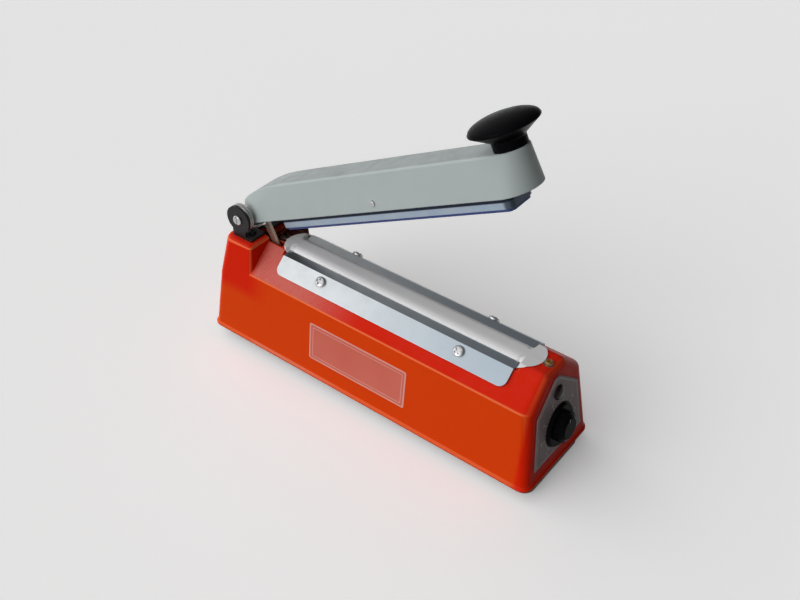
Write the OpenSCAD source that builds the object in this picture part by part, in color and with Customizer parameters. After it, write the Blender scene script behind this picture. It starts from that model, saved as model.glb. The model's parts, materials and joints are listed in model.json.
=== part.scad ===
// Hand impulse heat sealer: a cast body with a sealing bar, and a sprung lever arm with a press bar.
// Millimetres, +Z up, table at z = 0, +X towards the control end, -Y is the front.
// Heights named _h are measured from the lower edge of the body's lip, which stands on the feet.
// On the arm, u runs from the hinge to the handle, y runs across and v stands square to the arm.

/* [Body housing] */
// Length of the body at its lip
lip_l = 302.6; // [285:0.2:320]
// Width of the body at its lip
lip_w = 86; // [83:0.5:92]
// Height of the flared lip
lip_h = 6.5; // [5:0.5:9]
// How far the lip stands out from the walls
lip_flare = 2; // [1.5:0.1:3]
// Draft of the walls, in degrees
draft = 6.5; // [5:0.25:7.5]
// Height of the ridge
ridge_h = 82; // [76:0.5:90]
// Rise of the ridge above the side walls
ridge_rise = 20; // [18:0.5:22]
// Width of the flat along the ridge
ridge_w = 23.6; // [22:0.2:26]
// Length of the hump under the hinge
hump_l = 42.5; // [40:0.1:44]
// Rise of the hump above the ridge
hump_rise = 4; // [3:0.25:8]
// Wall of the housing
wall = 2.5; // [2:0.1:3.2]
// Radius of the upright corners
corner_r = 6; // [4:0.5:8]
// Radius of the long folds
fold_r = 3; // [2:0.25:4]
// Extra radius of the upright edges at the fold
fold_turn = 5; // [2:0.5:7]
// Radius of the ridge's ends
ridge_r = 6; // [4:0.5:7]
// Radius of the hump's far edges
hump_r = 4; // [3:0.5:6]
// How far the hump's far end leans in above its shoulder
hump_lean = 1.5; // [0:0.1:3]
// Radius of the hump's far corners at its top
hump_corner = 9; // [7:0.5:12]
// Depth of that shoulder below the fold
lean_drop = 10; // [4:0.5:16]

/* [Base and feet] */
// Height of the rubber feet
foot_h = 10; // [6:0.5:12]
// Diameter of the rubber feet
foot_d = 20; // [16:0.5:22]
// Distance of the feet from the lip's edges
foot_inset = 11.5; // [11:0.5:14]
// Distance of the foot screws from the lip's long sides
foot_side = 25; // [23:0.5:26]
// Length of a foot past its screws
foot_more = 9; // [7:0.5:10]
// Thickness of the base plate
base_t = 1.5; // [1:0.1:2]
// Side of the square posts that take the base screws
post_w = 13; // [11:0.5:15]
// Height of the posts
post_h = 24; // [18:1:30]
// Diameter of the base screws
base_screw_d = 4; // [3:0.25:4.5]

/* [Sealing bar] */
// Length of the end cap beside the hump
cap_near = 14.3; // [13.5:0.1:18]
// Length of the end cap at the control end
cap_far = 18.2; // [17:0.2:20]
// Depth of the deck under the clamp plates, below the ridge
deck_drop = 3.8; // [3.4:0.1:4.4]
// Depth of the trough below the deck
trough_d = 8; // [6:0.5:9]
// Width of the sealing bar
bar_w = 16; // [14:0.5:17]
// Width of the flat on the bar's crown
crown_flat = 6; // [5:0.25:8]
// Rise of the bar's rounded shoulders
crown_rise = 2.6; // [2:0.1:3]
// Thickness of the insulating tape
tape_t = 0.2; // [0.1:0.05:0.3]
// Width of the heating strip
strip_w = 3; // [2:0.25:5]
// Thickness of the heating strip
strip_t = 0.2; // [0.1:0.05:0.3]
// Thickness of the PTFE cover
cover_t = 0.4; // [0.3:0.05:0.6]
// Radius of the cover's rounded ends
flap_r = 15; // [14:0.5:16]
// How far the cover laps over the end caps
flap_lap = 8.4; // [6:0.2:8.4]
// Distance of the hinge end's terminal from the seat
terminal_near = 8.6; // [8.2:0.2:9]
// Distance of the control end's terminal from the seat
terminal_far = 11.8; // [11.6:0.2:12.6]
// Diameter of the terminal screws
terminal_d = 3; // [2.5:0.25:3.5]

/* [Clamp plates] */
// Distance of the clamp plates' ends from the ends of the bar's seat
plate_inset = 5; // [4:0.5:8]
// How far the deck reaches past the clamp plates
deck_past = 2.5; // [1.5:0.1:4]
// Thickness of the clamp plates
plate_t = 1.2; // [0.8:0.1:1.5]
// Distance of the plates' lower edge from the fold, up the slope
plate_low = 10.1; // [8:0.1:12]
// Radius of the plates' lower corners
plate_r = 6; // [4:0.5:8]
// Distance of the clamp screws from the plates' ends
clamp_inset = 41; // [30:1:55]
// Distance of the clamp screws from the fold, up the slope
clamp_up = 19.3; // [17:0.1:21]
// Diameter of the clamp screws
clamp_d = 4; // [3:0.25:4.5]

/* [Hinge] */
// Distance of the hinge from the lip's end
hinge_in = 25.5; // [25:0.1:26]
// Height of the hinge above the hump
hinge_up = 15.9; // [15:0.1:17]
// Angle of the raised arm, in degrees
open_angle = 26.5; // [24:0.1:28]
// Diameter of the hinge pin
pin_d = 5; // [4:0.25:6]
// Radius of the bracket's ears
ear_r = 11.4; // [10:0.1:12]
// Sheet of the hinge bracket
bracket_t = 2; // [1.5:0.1:2.5]
// Width over the bracket's ears
bracket_w = 52.6; // [52.4:0.2:55]
// Length of the bracket's base
bracket_l = 19; // [18:0.5:20]
// Diameter of the bracket screws
bracket_screw_d = 3.5; // [3:0.25:4]
// Wire of the torsion springs
wire_d = 1.6; // [1.2:0.1:1.7]
// Mean radius of the springs' turns
coil_r = 10.6; // [10.2:0.1:11]
// Turns of each spring
coil_turns = 2; // [1:1:2]
// Gap between the turns
coil_gap = 0.35; // [0.3:0.05:0.45]
// Diameter of the sleeve on the pin
sleeve_d = 9; // [8:0.25:10]

/* [Lever arm] */
// Distance of the arm's round end past the end of the bar's seat, at its centre
arm_past = -0.7; // [-4:0.1:4]
// Width of the arm at its open side
arm_w = 36.2; // [35.4:0.2:36.8]
// Width of the arm at its top
arm_top_w = 25.5; // [24:0.5:27]
// Height of the arm
arm_h = 26.1; // [24.5:0.1:28]
// Depth of the arm below the hinge
arm_drop = 7; // [6.8:0.1:7.6]
// Wall of the arm
arm_t = 2.5; // [2:0.1:2.8]
// Radius of the arm's nose
nose_r = 16; // [15.5:0.1:16.5]
// How far the nose reaches back past the hinge
nose_back = 9; // [8:0.1:10]
// Length of the nose's curve along the arm
nose_l = 60; // [58:0.5:62]
// Length over which the arm's top narrows to the nose
nose_taper = 50; // [48:0.5:52]
// Radius of the nose's upright edges
nose_corner = 7; // [5:0.5:9]
// How far the round end's foot stands back
end_low = 1; // [0:0.1:2]
// How far the round end's top stands out
end_high = 4.2; // [0:0.1:5]

/* [Press bar] */
// Distance from the hinge to the press bar
press_u = 33; // [31:0.5:35]
// Distance of the press bar's end past the centre of the arm's round end
press_past = 1; // [-3:0.5:2]
// Width of the press bar
press_w = 25; // [23:0.5:25.4]
// Height of the press bar's sides above its pivot
press_over = 3.25; // [2.75:0.25:4]
// Sheet of the press bar
press_t = 1.2; // [0.8:0.1:1.6]
// Radius of the press bar's end corners
press_r = 5; // [4:0.5:8]
// Thickness of the silicone pad
pad_t = 2; // [1.5:0.1:2.5]
// Inset of the pad from the press bar's edges
pad_inset = 1.2; // [0.8:0.1:2]
// Gap between the pad and the cover with the arm down
close_gap = 1.1; // [1.1:0.05:1.3]
// Distance of the pivot from the press bar's middle, towards the hinge
pivot_off = 2; // [-4:0.5:6]
// Depth of the pivot below the hinge
pivot_drop = 1.5; // [1:0.1:2.5]
// Diameter of the pivot pin
pivot_d = 4; // [3:0.25:4.5]

/* [Handle] */
// Distance of the handle past the centre of the arm's round end
handle_past = 5.4; // [4:0.1:6]
// Diameter of the handle's disc
handle_d = 46.2; // [40:0.2:50]
// Diameter of the handle's stem
stem_d = 22.4; // [18:0.2:23]
// Height of the disc's rim above the arm
rim_h = 14.2; // [12:0.1:16]
// Height of the handle's stem below its cone
stem_h = 5.2; // [3:0.1:7]
// Rise of the handle's dome
dome_h = 6.8; // [5:0.1:8]
// Diameter of the handle screw
handle_screw_d = 5; // [4:0.25:6]

/* [Switch] */
// Distance of the tongue from the hinge
tongue_u = 9.5; // [9:0.1:10]
// Place of the tongue across the arm
tongue_y = -9; // [-9.2:0.1:-8.8]
// Width of the tongue
tongue_w = 6; // [5:0.25:6.5]
// Thickness of the tongue
tongue_t = 2; // [1.5:0.1:2.4]
// Reach of the tongue below the hinge
tongue_drop = 38; // [36:0.5:39]
// Length of the micro switch
switch_l = 20; // [18:0.5:22]
// Width of the micro switch
switch_w = 6.4; // [6:0.2:7]
// Height of the micro switch
switch_h = 10; // [9:0.5:11]
// Diameter of the switch plunger
plunger_d = 3; // [2.5:0.1:3.5]
// Reach of the plunger above the switch
plunger_up = 2; // [1.8:0.1:2.5]
// Sheet of the switch bracket
switch_bracket_t = 1.5; // [1:0.1:2]

/* [Control end] */
// Thickness of the control panel
panel_t = 1; // [0.8:0.1:1.5]
// Width of the control panel at its lower edge
panel_w = 61.8; // [58:0.2:64]
// Distance of the panel's shoulders below the top of the side walls
panel_shoulder = 7.4; // [6:0.2:12]
// Distance of the panel's peak below the ridge
panel_peak = 8; // [7:0.2:11]
// Height of the panel's lower edge above the lip
panel_foot = 5.5; // [2:0.5:8]
// Distance of the timer knob below the indicator
knob_drop = 28.4; // [26:0.2:30]
// Diameter of the knob's skirt
skirt_d = 34; // [30:0.5:36]
// Thickness of the knob's skirt
skirt_t = 2.4; // [2:0.1:3]
// Diameter of the knob's grip
grip_d = 23; // [20:0.5:24]
// Length of the knob
knob_l = 9.5; // [8.5:0.25:12]
// Flutes round the knob's grip
flutes = 14; // [10:1:18]
// Depth of the flutes
flute_d = 0.8; // [0.6:0.1:1.2]
// Diameter of the timer's shaft
shaft_d = 6; // [5:0.25:6.5]
// Diameter of the timer's threaded neck
neck_d = 9; // [8.5:0.25:10]
// Diameter of the timer's body
timer_d = 24; // [20:0.5:26]
// Depth of the timer's body
timer_l = 10; // [8:0.5:13]
// Distance of the indicator below the ridge
lamp_drop = 20.6; // [20.4:0.2:23]
// Diameter of the indicator lens
lamp_d = 7.6; // [6:0.2:8.4]
// Diameter of the lens's head
lens_d = 11; // [9:0.2:12]
// Height of the mains cord's inlet
inlet_h = 18; // [16:0.5:22]
// Diameter of the inlet's bore
inlet_d = 7.2; // [6:0.2:8]
// Length of the inlet's grommet
inlet_l = 11; // [9:0.5:11.5]

/* [Inner parts] */
// Length of the transformer core
core_l = 58; // [50:1:66]
// Depth of the transformer core
core_d = 36; // [30:1:40]
// Height of the transformer core
core_h = 48; // [42:1:52]
// Place of the transformer along the body
core_x = -5; // [-15:1:5]
// Overhang of the coil from the core
coil_out = 8; // [6:0.5:10]
// Length of the timer board
board_l = 60; // [50:1:64]
// Width of the timer board
board_w = 46; // [40:1:50]
// Distance of the board's middle from the lip's end
board_in = 63.3; // [62:0.1:70]
// Height of the board's standoffs
standoff_h = 7; // [5:0.5:10]

/* [Hidden] */
$fn = 64;
// Running clearance of a pin, clearance of a flat seat, and gap beside a moving piece
fit = 0.05;
seat = 0.05;
gap = 0.3;
// Facets of round corners inside a hull
soft_fn = 32;
big = 400;

// Heights of the body's parts, all from the ridge
fold_h = ridge_h - ridge_rise;
hump_h = ridge_h + hump_rise;
deck_h = ridge_h - deck_drop;
hinge_h = hump_h + hinge_up;
lamp_h = ridge_h - lamp_drop;
knob_h = lamp_h - knob_drop;
panel_shoulder_h = fold_h - panel_shoulder;
panel_peak_h = ridge_h - panel_peak;

// Body: half length and half width of the drafted walls at a height, and the slope above the fold
function inset(h) = lip_flare + max(h - lip_h, 0) * tan(draft);
function half_l(h) = lip_l / 2 - inset(h);
function half_w(h) = lip_w / 2 - inset(h);
slope = atan2(ridge_h - fold_h, half_w(fold_h) - ridge_w / 2);
function slope_y(h) = half_w(fold_h) - (h - fold_h) / tan(slope);
hump_x = hump_l - lip_l / 2;
roof_h = deck_h - trough_d - wall;
deck_x0 = hump_x + cap_near;
deck_x1 = half_l(ridge_h) - cap_far;
deck_x = (deck_x0 + deck_x1) / 2;
deck_l = deck_x1 - deck_x0;
plate_l = deck_l - 2 * plate_inset;
clamp_pitch = plate_l - 2 * clamp_inset;
hinge_x = hinge_in - lip_l / 2;
foot_x = lip_l / 2 - foot_inset;
foot_y = lip_w / 2 - foot_side;
board_x = lip_l / 2 - board_in;

// The knob reaches past the lip, so the body stands off the middle of the part by half of that
knob_edge = 1.4;
knob_far = half_l(knob_h) + (panel_t + knob_l) * cos(draft) + (grip_d / 2 - knob_edge - 2.4) * sin(draft);
body_x = -max(0, knob_far - lip_l / 2) / 2;

// Cover over the bar's crown: its two faces stand these heights off the bar
cover_in = tape_t + strip_t + seat;
cover_out = cover_in + cover_t;
crown_h = ridge_h + cover_out;
shoulder_h = ridge_h - crown_rise;
plate_in = bar_w / 2 + cover_out + gap;

// Arm: the pad's lower face meets the crown, less the gap, with the arm level
pad_v = crown_h + close_gap - hinge_h;
press_v = pad_v + pad_t;
press_h = press_over - pivot_drop - press_v;
arm_l = deck_x1 - hinge_x + arm_past;
press_l = arm_l + press_past - press_u;
pivot_u = press_u + press_l / 2 - pivot_off;
handle_u = arm_l + handle_past;
arm_v0 = -arm_drop;
arm_v1 = arm_h - arm_drop;
arm_taper = (arm_w - arm_top_w) / 2 / arm_h;
function arm_half(v) = arm_w / 2 - (v - arm_v0) * arm_taper;
nose_v = arm_v1 - nose_r;
nose_u = nose_l - nose_back;
function end_u(v) = arm_l - end_low + (end_low + end_high) * (v - arm_v0) / arm_h;
ear_in = bracket_w / 2 - bracket_t;

// Switch: the tongue's path, from level to raised, sets the slot, and its tip sets the plunger
tongue_in = tongue_y + tongue_t / 2;
tongue_out = tongue_y - tongue_t / 2;
slot_side = 1.5;
slot_x0 = hinge_x + tongue_u - tongue_w / 2 - slot_side;
slot_x1 = hinge_x + (tongue_u + tongue_w / 2) * cos(open_angle) + tongue_drop * sin(open_angle) + slot_side;
plunger_top_h = hinge_h - tongue_drop - gap - 0.1;
switch_top_h = plunger_top_h - plunger_up;
switch_x = hinge_x + tongue_u;

orange = [0.80, 0.16, 0.04];
arm_grey = [0.64, 0.68, 0.66];
black = [0.07, 0.07, 0.08];
steel = [0.75, 0.77, 0.80];
zinc = [0.66, 0.72, 0.80];
brass = [0.80, 0.62, 0.28];
white = [0.90, 0.90, 0.89];
tan_strip = [0.55, 0.47, 0.40];

// Shared shapes

function arc(c, rx, ry, a0, a1, n) =
    [for (i = [0:n]) let (a = a0 + (a1 - a0) * i / n) [c[0] + rx * cos(a), c[1] + ry * sin(a)]];
function mirrored(p) = [for (i = [len(p) - 1:-1:0]) [-p[i][0], p[i][1]]];
function reversed(p) = [for (i = [len(p) - 1:-1:0]) p[i]];

module on_body() {
    translate([body_x, 0, foot_h]) children();
}

// Frame on the front slope: x along the body, y up the slope, z off the slope
module on_slope() {
    translate([0, -half_w(fold_h), fold_h]) rotate([slope, 0, 0]) children();
}

// Frame on the control end's face at a height: x across, y up the face, z outwards
module on_end(h) {
    translate([half_l(h), 0, h]) rotate([0, -draft, 0]) rotate([90, 0, 90]) children();
}

// Frame of the raised arm: x along u, y across, z along v
module on_arm() {
    on_body() translate([hinge_x, 0, hinge_h]) rotate([0, -open_angle, 0]) children();
}

// A profile drawn across the body, as [y, z], drawn out along x
module along_x(x0, x1) {
    translate([x0, 0, 0]) rotate([90, 0, 90]) linear_extrude(x1 - x0) children();
}

// A round bar across the body, centred on y = 0
module across_y(r, l) {
    rotate([90, 0, 0]) cylinder(r = r, h = l, center = true);
}

module four(x, y) {
    for (i = [-1, 1], j = [-1, 1]) translate([i * x, j * y, 0]) children();
}

// Pan-head screw with a cross slot: the head stands up from z = 0 and the shank goes down
module pan_screw(d, l, head_d, head_h) {
    edge = head_h * 0.45;
    slot = d * 0.22;
    difference() {
        union() {
            rotate_extrude() polygon(concat([[0, 0], [head_d / 2, 0]],
                arc([0, edge], head_d / 2, head_h - edge, 0, 90, 8)));
            translate([0, 0, -l]) cylinder(d = d, h = l);
        }
        for (a = [0, 90]) rotate([0, 0, a]) translate([-head_d * 0.32, -slot, head_h * 0.5])
            cube([head_d * 0.64, 2 * slot, head_h]);
    }
}

// Body housing

// Steps from a corner's point to the middle of a ball of radius 1 that touches its three faces
side_step = (1 - sin(draft)) / cos(draft);
fold_step = let (d = 1 + cos(draft) * sin(slope) + sin(draft) * cos(slope),
        y = (cos(draft) + sin(slope)) / d, z = (sin(draft) + cos(slope)) / d)
    [(1 - z * sin(draft)) / cos(draft), y, z];
ridge_step = [side_step, tan(slope / 2), 1];

// The pentagonal body with every edge rounded; its near end runs into the hump
module body_form() {
    fold_c = [half_l(fold_h), half_w(fold_h), fold_h] - fold_r * fold_step;
    ridge_c = [half_l(ridge_h), ridge_w / 2, ridge_h] - ridge_r * ridge_step;
    hull() {
        four(half_l(lip_h) - corner_r, half_w(lip_h) - corner_r)
            translate([0, 0, lip_h / 2]) cylinder(r = corner_r, h = lip_h / 2, $fn = soft_fn);
        for (j = [-1, 1]) {
            translate([fold_c[0] - fold_turn, j * (fold_c[1] - fold_turn), fold_c[2]]) rotate_extrude($fn = soft_fn)
                translate([fold_turn, 0]) circle(fold_r, $fn = soft_fn);
            translate([hump_x - 2 * fold_r, j * fold_c[1], fold_c[2]]) sphere(fold_r, $fn = soft_fn);
            translate([ridge_c[0], j * ridge_c[1], ridge_c[2]]) sphere(ridge_r, $fn = soft_fn);
            translate([hump_x - 2 * ridge_r, j * ridge_c[1], ridge_c[2]]) sphere(ridge_r, $fn = soft_fn);
        }
    }
}

// The far end of the hump leans in by this much at a height
lean_h = fold_h - lean_drop;
function lean(h) = hump_lean * max(h - lean_h, 0) / (hump_h - lean_h);

// The hump under the hinge: full width, with a square face towards the sealing bar
module hump_form() {
    far_x = half_l(hump_h) - hump_lean - hump_corner;
    far_y = half_w(hump_h - hump_r) - hump_corner;
    near_y = half_w(hump_h) - fold_r * side_step;
    hull() for (j = [-1, 1]) {
        translate([corner_r - half_l(lip_h), j * (half_w(lip_h) - corner_r), lip_h / 2])
            cylinder(r = corner_r, h = lip_h / 2, $fn = soft_fn);
        translate([corner_r - half_l(lean_h), j * (half_w(lean_h) - corner_r), lean_h - 1])
            cylinder(r = corner_r, h = 1, $fn = soft_fn);
        translate([hump_x - fold_r, j * (half_w(lip_h) - fold_r), lip_h / 2])
            cylinder(r = fold_r, h = lip_h / 2, $fn = soft_fn);
        translate([-far_x, j * far_y, hump_h - hump_r]) rotate_extrude($fn = 2 * soft_fn) polygon(concat(
            [[0, 0]], arc([hump_corner - hump_r, 0], hump_r, hump_r, 0, 90, 6), [[0, hump_r]]));
        translate([hump_x - fold_r, j * near_y, hump_h - fold_r]) sphere(fold_r, $fn = soft_fn);
    }
}

// A ring of the lip, from one height to another, that stands off the drafted walls by out0 and out1
module lip_ring(h0, h1, out0, out1) {
    x = half_l(lip_h) - corner_r;
    y = half_w(lip_h) - corner_r;
    hull() four(x, y) translate([0, 0, h0]) cylinder(r1 = corner_r + out0, r2 = corner_r + out1, h = h1 - h0, $fn = soft_fn);
}

// The lip: a thin edge, and a hollow curve up to the wall
module lip_form() {
    edge = lip_h * 0.2;
    bend = lip_h * 0.45;
    lip_ring(0, edge, lip_flare, lip_flare);
    lip_ring(edge - 0.01, bend, lip_flare, lip_flare * 0.3);
    lip_ring(bend - 0.01, lip_h, lip_flare * 0.3, 0);
}

// The hollow inside the walls, below the sealing bar's trough
module body_cavity() {
    r = 2;
    fold_c = [half_l(fold_h), half_w(fold_h), fold_h] - (wall + r) * fold_step;
    turn = fold_turn * 0.6;
    roof_y = slope_y(roof_h) - wall / sin(slope);
    hull() {
        four(half_l(lip_h) - wall - r, half_w(lip_h) - wall - r)
            translate([0, 0, -1]) cylinder(r = r, h = lip_h + 1, $fn = soft_fn);
        for (j = [-1, 1]) {
            for (t = [0, turn]) translate([fold_c[0] - t, j * (fold_c[1] - turn + t), fold_c[2]])
                cylinder(r = r, h = r, $fn = soft_fn);
            translate([lean(fold_h) + 1 - fold_c[0], j * fold_c[1], fold_c[2]]) cylinder(r = r, h = r, $fn = soft_fn);
            for (x = [half_l(roof_h) - wall - r, lean(roof_h) + 1 + wall + r - half_l(roof_h)])
                translate([x, j * (roof_y - r), roof_h - r]) cylinder(r = r, h = r, $fn = soft_fn);
        }
    }
}

module hump_cavity() {
    r = 2;
    turn = hump_corner - wall;
    top_h = hump_h - wall;
    x0 = hump_lean + hump_corner - half_l(hump_h);
    x1 = hump_x - wall - r;
    hull() for (j = [-1, 1]) {
        translate([x0, j * (half_w(lip_h) - hump_corner), lip_h]) cylinder(r = turn, h = 1, $fn = soft_fn);
        translate([x0, j * (half_w(top_h) - hump_corner - 0.5), top_h - r]) cylinder(r = turn, h = r, $fn = soft_fn);
        translate([x1, j * (half_w(lip_h) - wall - r), lip_h]) cylinder(r = r, h = 1, $fn = soft_fn);
        translate([x1, j * (half_w(top_h) - wall - r), top_h - r]) cylinder(r = r, h = r, $fn = soft_fn);
    }
}

// Square posts left standing in the hollow's corners
module corner_posts() {
    translate([0, 0, base_t + post_h / 2]) four(foot_x + lip_l / 4, foot_y + lip_w / 4)
        cube([lip_l / 2 + post_w, lip_w / 2 + post_w, post_h], center = true);
}

module clamp_holes(r, depth) {
    for (i = [-1, 1]) translate([deck_x + i * clamp_pitch / 2, clamp_up, -depth])
        cylinder(r = r, h = depth + 5);
}

bracket_screw_y = bracket_w * 0.338;
bracket_x0 = hinge_x - ear_r * 0.57;
bracket_screw_x = bracket_x0 + bracket_l * 0.62;

module body_housing() color(orange) on_body() difference() {
    union() {
        body_form();
        hump_form();
        lip_form();
    }
    difference() {
        union() {
            body_cavity();
            hump_cavity();
        }
        corner_posts();
    }
    // Deck under the clamp plates and trough for the bar
    translate([plate_x0 - deck_past, -lip_w / 2, deck_h]) cube([plate_l + 2 * deck_past, lip_w, ridge_h]);
    translate([deck_x0, -bar_w / 2 - seat, deck_h - trough_d]) cube([deck_l, bar_w + 2 * seat, ridge_h]);
    // Slot that the switch tongue swings through
    translate([slot_x0, tongue_out - slot_side, fold_h - 4])
        cube([slot_x1 - slot_x0, tongue_t + 2 * slot_side, hump_h]);
    // Screw holes and the openings of the two ends
    on_slope() clamp_holes(clamp_d / 2 + fit, 7);
    mirror([0, 1, 0]) on_slope() clamp_holes(clamp_d / 2 + fit, 7);
    for (j = [-1, 1]) translate([bracket_screw_x, j * bracket_screw_y, hump_h - wall - 5])
        cylinder(d = bracket_screw_d + 2 * fit, h = wall + 10);
    for (x = [strip_x0, strip_x1]) translate([x, 0, roof_h - 8])
        cylinder(d = bush_d + 2 * fit, h = ridge_h);
    four(foot_x, foot_y) translate([0, 0, -1]) cylinder(d = base_screw_d + 2 * fit, h = post_h - 2);
    on_end(knob_h) translate([0, 0, -wall - 4]) cylinder(d = neck_d + 2 * fit, h = wall + 8);
    on_end(lamp_h) translate([0, 0, -wall - 20]) cylinder(d = holder_d + 2 * fit, h = wall + 24);
    along_x(-lip_l / 2 - 1, -grommet_in) inlet_outline(grommet_d + 2 * fit, -1);
}

// Base plate and feet

module base_plate() color(steel) on_body() difference() {
    r = corner_r - wall;
    x = half_l(lip_h) - wall - gap;
    y = half_w(lip_h) - wall - gap;
    translate([0, 0, 0]) linear_extrude(base_t) union() {
        square([2 * x, 2 * (y - r)], center = true);
        square([2 * (x - r), 2 * y], center = true);
        four(x - r, y - r) circle(r);
    }
    four(foot_x, foot_y) translate([0, 0, -1]) cylinder(d = base_screw_d + 2 * fit, h = base_t + 2);
    translate([core_x, 0, -1]) for (i = [-1, 1]) translate([i * core_screw_x, 0, 0])
        cylinder(d = core_screw_d + 2 * fit, h = base_t + 2);
}

foot_recess_d = base_screw_d * 2 + 2;
foot_floor = 3;

// A rubber bar across each end, with rounded ends and a recess for each screw
module rubber_feet() color(black) translate([body_x, 0, 0]) for (i = [-1, 1]) translate([i * foot_x, 0, 0]) difference() {
    hull() for (j = [-1, 1]) translate([0, j * (foot_y + foot_more), 0]) rotate_extrude() polygon(concat([[0, 0], [foot_d / 2 - 2, 0]],
        arc([foot_d / 2 - 2.4, 1.4], 1.4, 1.4, -90, 0, 6), [[foot_d / 2, foot_h - seat], [0, foot_h - seat]]));
    for (j = [-1, 1]) translate([0, j * foot_y, -1]) {
        cylinder(d = foot_recess_d, h = foot_h - foot_floor + 1);
        cylinder(d = base_screw_d + 2 * fit, h = foot_h + 2);
    }
}

module base_screws() color(steel) translate([body_x, 0, foot_h - foot_floor]) four(foot_x, foot_y)
    mirror([0, 0, 1]) pan_screw(base_screw_d, foot_floor + base_t + post_h * 0.58, base_screw_d * 1.9, base_screw_d * 0.6);

grommet_d = inlet_d * 1.7;
grommet_flange = 2;
grommet_play = 0.5;
grommet_out = lip_l / 2 - 0.1;
grommet_in = grommet_out - inlet_l;
grommet_wall_out = half_l(lip_h) + seat;
grommet_wall_low = half_l(lip_h) - wall + seat;
grommet_wall_in = half_l(inlet_h + grommet_d / 2 + grommet_flange) - wall - seat - grommet_play;

// Round-topped outline, as [y, z], that stands on the height low
module inlet_outline(d, low) {
    translate([0, inlet_h]) circle(d = d);
    translate([-d / 2, low]) square([d, inlet_h - low]);
}

// Rubber grommet that slides up into a notch in the end wall: an outer collar, a neck and an inner collar
module cord_grommet() color(black) on_body() difference() {
    collar = grommet_d + 2 * grommet_flange;
    union() {
        along_x(-grommet_out, -grommet_wall_out) inlet_outline(collar, lip_h + seat);
        along_x(-grommet_out, -grommet_wall_low) inlet_outline(grommet_d, seat);
        along_x(-grommet_wall_low - seat, -grommet_wall_in + seat) inlet_outline(grommet_d, base_t + seat);
        along_x(-grommet_wall_in, -grommet_in) inlet_outline(collar, base_t + seat);
    }
    along_x(-grommet_out - 1, -grommet_in + 1) translate([0, inlet_h]) circle(d = inlet_d);
}

// Sealing bar, heating strip and cover

// Crown of the bar, from the front shoulder to the rear one, standing off by d
function crown(d) = let (front = concat([[-crown_flat / 2, ridge_h + d]],
        arc([-crown_flat / 2, shoulder_h], bar_w / 2 - crown_flat / 2 + d, crown_rise + d, 100, 180, 8)))
    concat(reversed(front), mirrored(reversed(front)));

module sealing_bar() color(steel) on_body() along_x(deck_x0 + seat, deck_x1 - seat)
    polygon(concat([[-bar_w / 2, deck_h - trough_d + seat]], crown(0), [[bar_w / 2, deck_h - trough_d + seat]]));

strip_x0 = deck_x0 - terminal_near;
strip_x1 = deck_x1 + terminal_far;

module insulating_tape() color(tan_strip) on_body()
    translate([strip_x0 + bush_d / 2 + seat, -crown_flat / 2, ridge_h + seat])
        cube([strip_x1 - strip_x0 - bush_d - 2 * seat, crown_flat, tape_t - seat]);

// Flat strip with an eyelet round each terminal screw
module heating_strip() color([0.55, 0.52, 0.50]) on_body() translate([0, 0, ridge_h + tape_t])
    linear_extrude(strip_t) difference() {
        union() {
            translate([strip_x0, -strip_w / 2]) square([strip_x1 - strip_x0, strip_w]);
            for (x = [strip_x0, strip_x1]) translate([x, 0]) circle(d = terminal_d + 3);
        }
        for (x = [strip_x0, strip_x1]) translate([x, 0]) circle(d = terminal_d + 2 * fit);
    }

// Point on the front slope, s up from the fold and n off the face, as [y, z]
function on_face(s, n) = [-half_w(fold_h) + s * cos(slope) - n * sin(slope), fold_h + s * sin(slope) + n * cos(slope)];
// Distance up the slope at which a face n off the slope meets a height
function up_to(h, n) = (h - fold_h - n * cos(slope)) / sin(slope);

hem_low = clamp_up - clamp_d * 1.5;
plate_x0 = deck_x - plate_l / 2;
plate_x1 = deck_x + plate_l / 2;

// Cover on the bar: one skin over the crown, down to the deck on both sides
module cover_crown() {
    along_x(plate_x0 - deck_past + seat, plate_x1 + deck_past - seat) polygon(concat(
        [[-bar_w / 2 - cover_out, deck_h + seat]], crown(cover_out), [[bar_w / 2 + cover_out, deck_h + seat]],
        [[bar_w / 2 + cover_in, deck_h + seat]], reversed(crown(cover_in)), [[-bar_w / 2 - cover_in, deck_h + seat]]));
}

// Cover under the front clamp plate: along the deck and down the slope
module cover_hem() {
    along_x(plate_x0 + 2, plate_x1 - 2) polygon([
        [-bar_w / 2 - cover_in, deck_h + seat], [-bar_w / 2 - cover_in, deck_h + seat + cover_t],
        on_face(up_to(deck_h + seat + cover_t, seat + cover_t), seat + cover_t), on_face(hem_low, seat + cover_t),
        on_face(hem_low, seat), on_face(up_to(deck_h + seat, seat), seat)]);
}

// Half of the cover's skin over an end cap, from the slope to the middle of the ridge
function cap_skin(d) = [on_face(up_to(deck_h + 1.2, d), d), on_face(up_to(ridge_h + d, d), d)];

// Rounded end of the cover, lying over an end cap
module cover_flap(x0, x1, tip) {
    skin = concat(cap_skin(cover_out), mirrored(cap_skin(cover_out)),
        reversed(concat(cap_skin(cover_in), mirrored(cap_skin(cover_in)))));
    intersection() {
        along_x(x0, x1) polygon(skin);
        translate([tip, 0, 0]) cylinder(r = flap_r, h = big);
    }
}

module ptfe_cover() color(white) on_body() difference() {
    union() {
        cover_crown();
        cover_hem();
        mirror([0, 1, 0]) cover_hem();
        cover_flap(plate_x1 + gap, deck_x1 + flap_lap, deck_x1 + flap_lap - flap_r);
        cover_flap(deck_x0 - flap_lap / 2, plate_x0 - gap, deck_x0 - flap_lap / 2 + flap_r);
    }
    on_slope() clamp_holes(clamp_d / 2 + fit, 7);
    mirror([0, 1, 0]) on_slope() clamp_holes(clamp_d / 2 + fit, 7);
}

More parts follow.
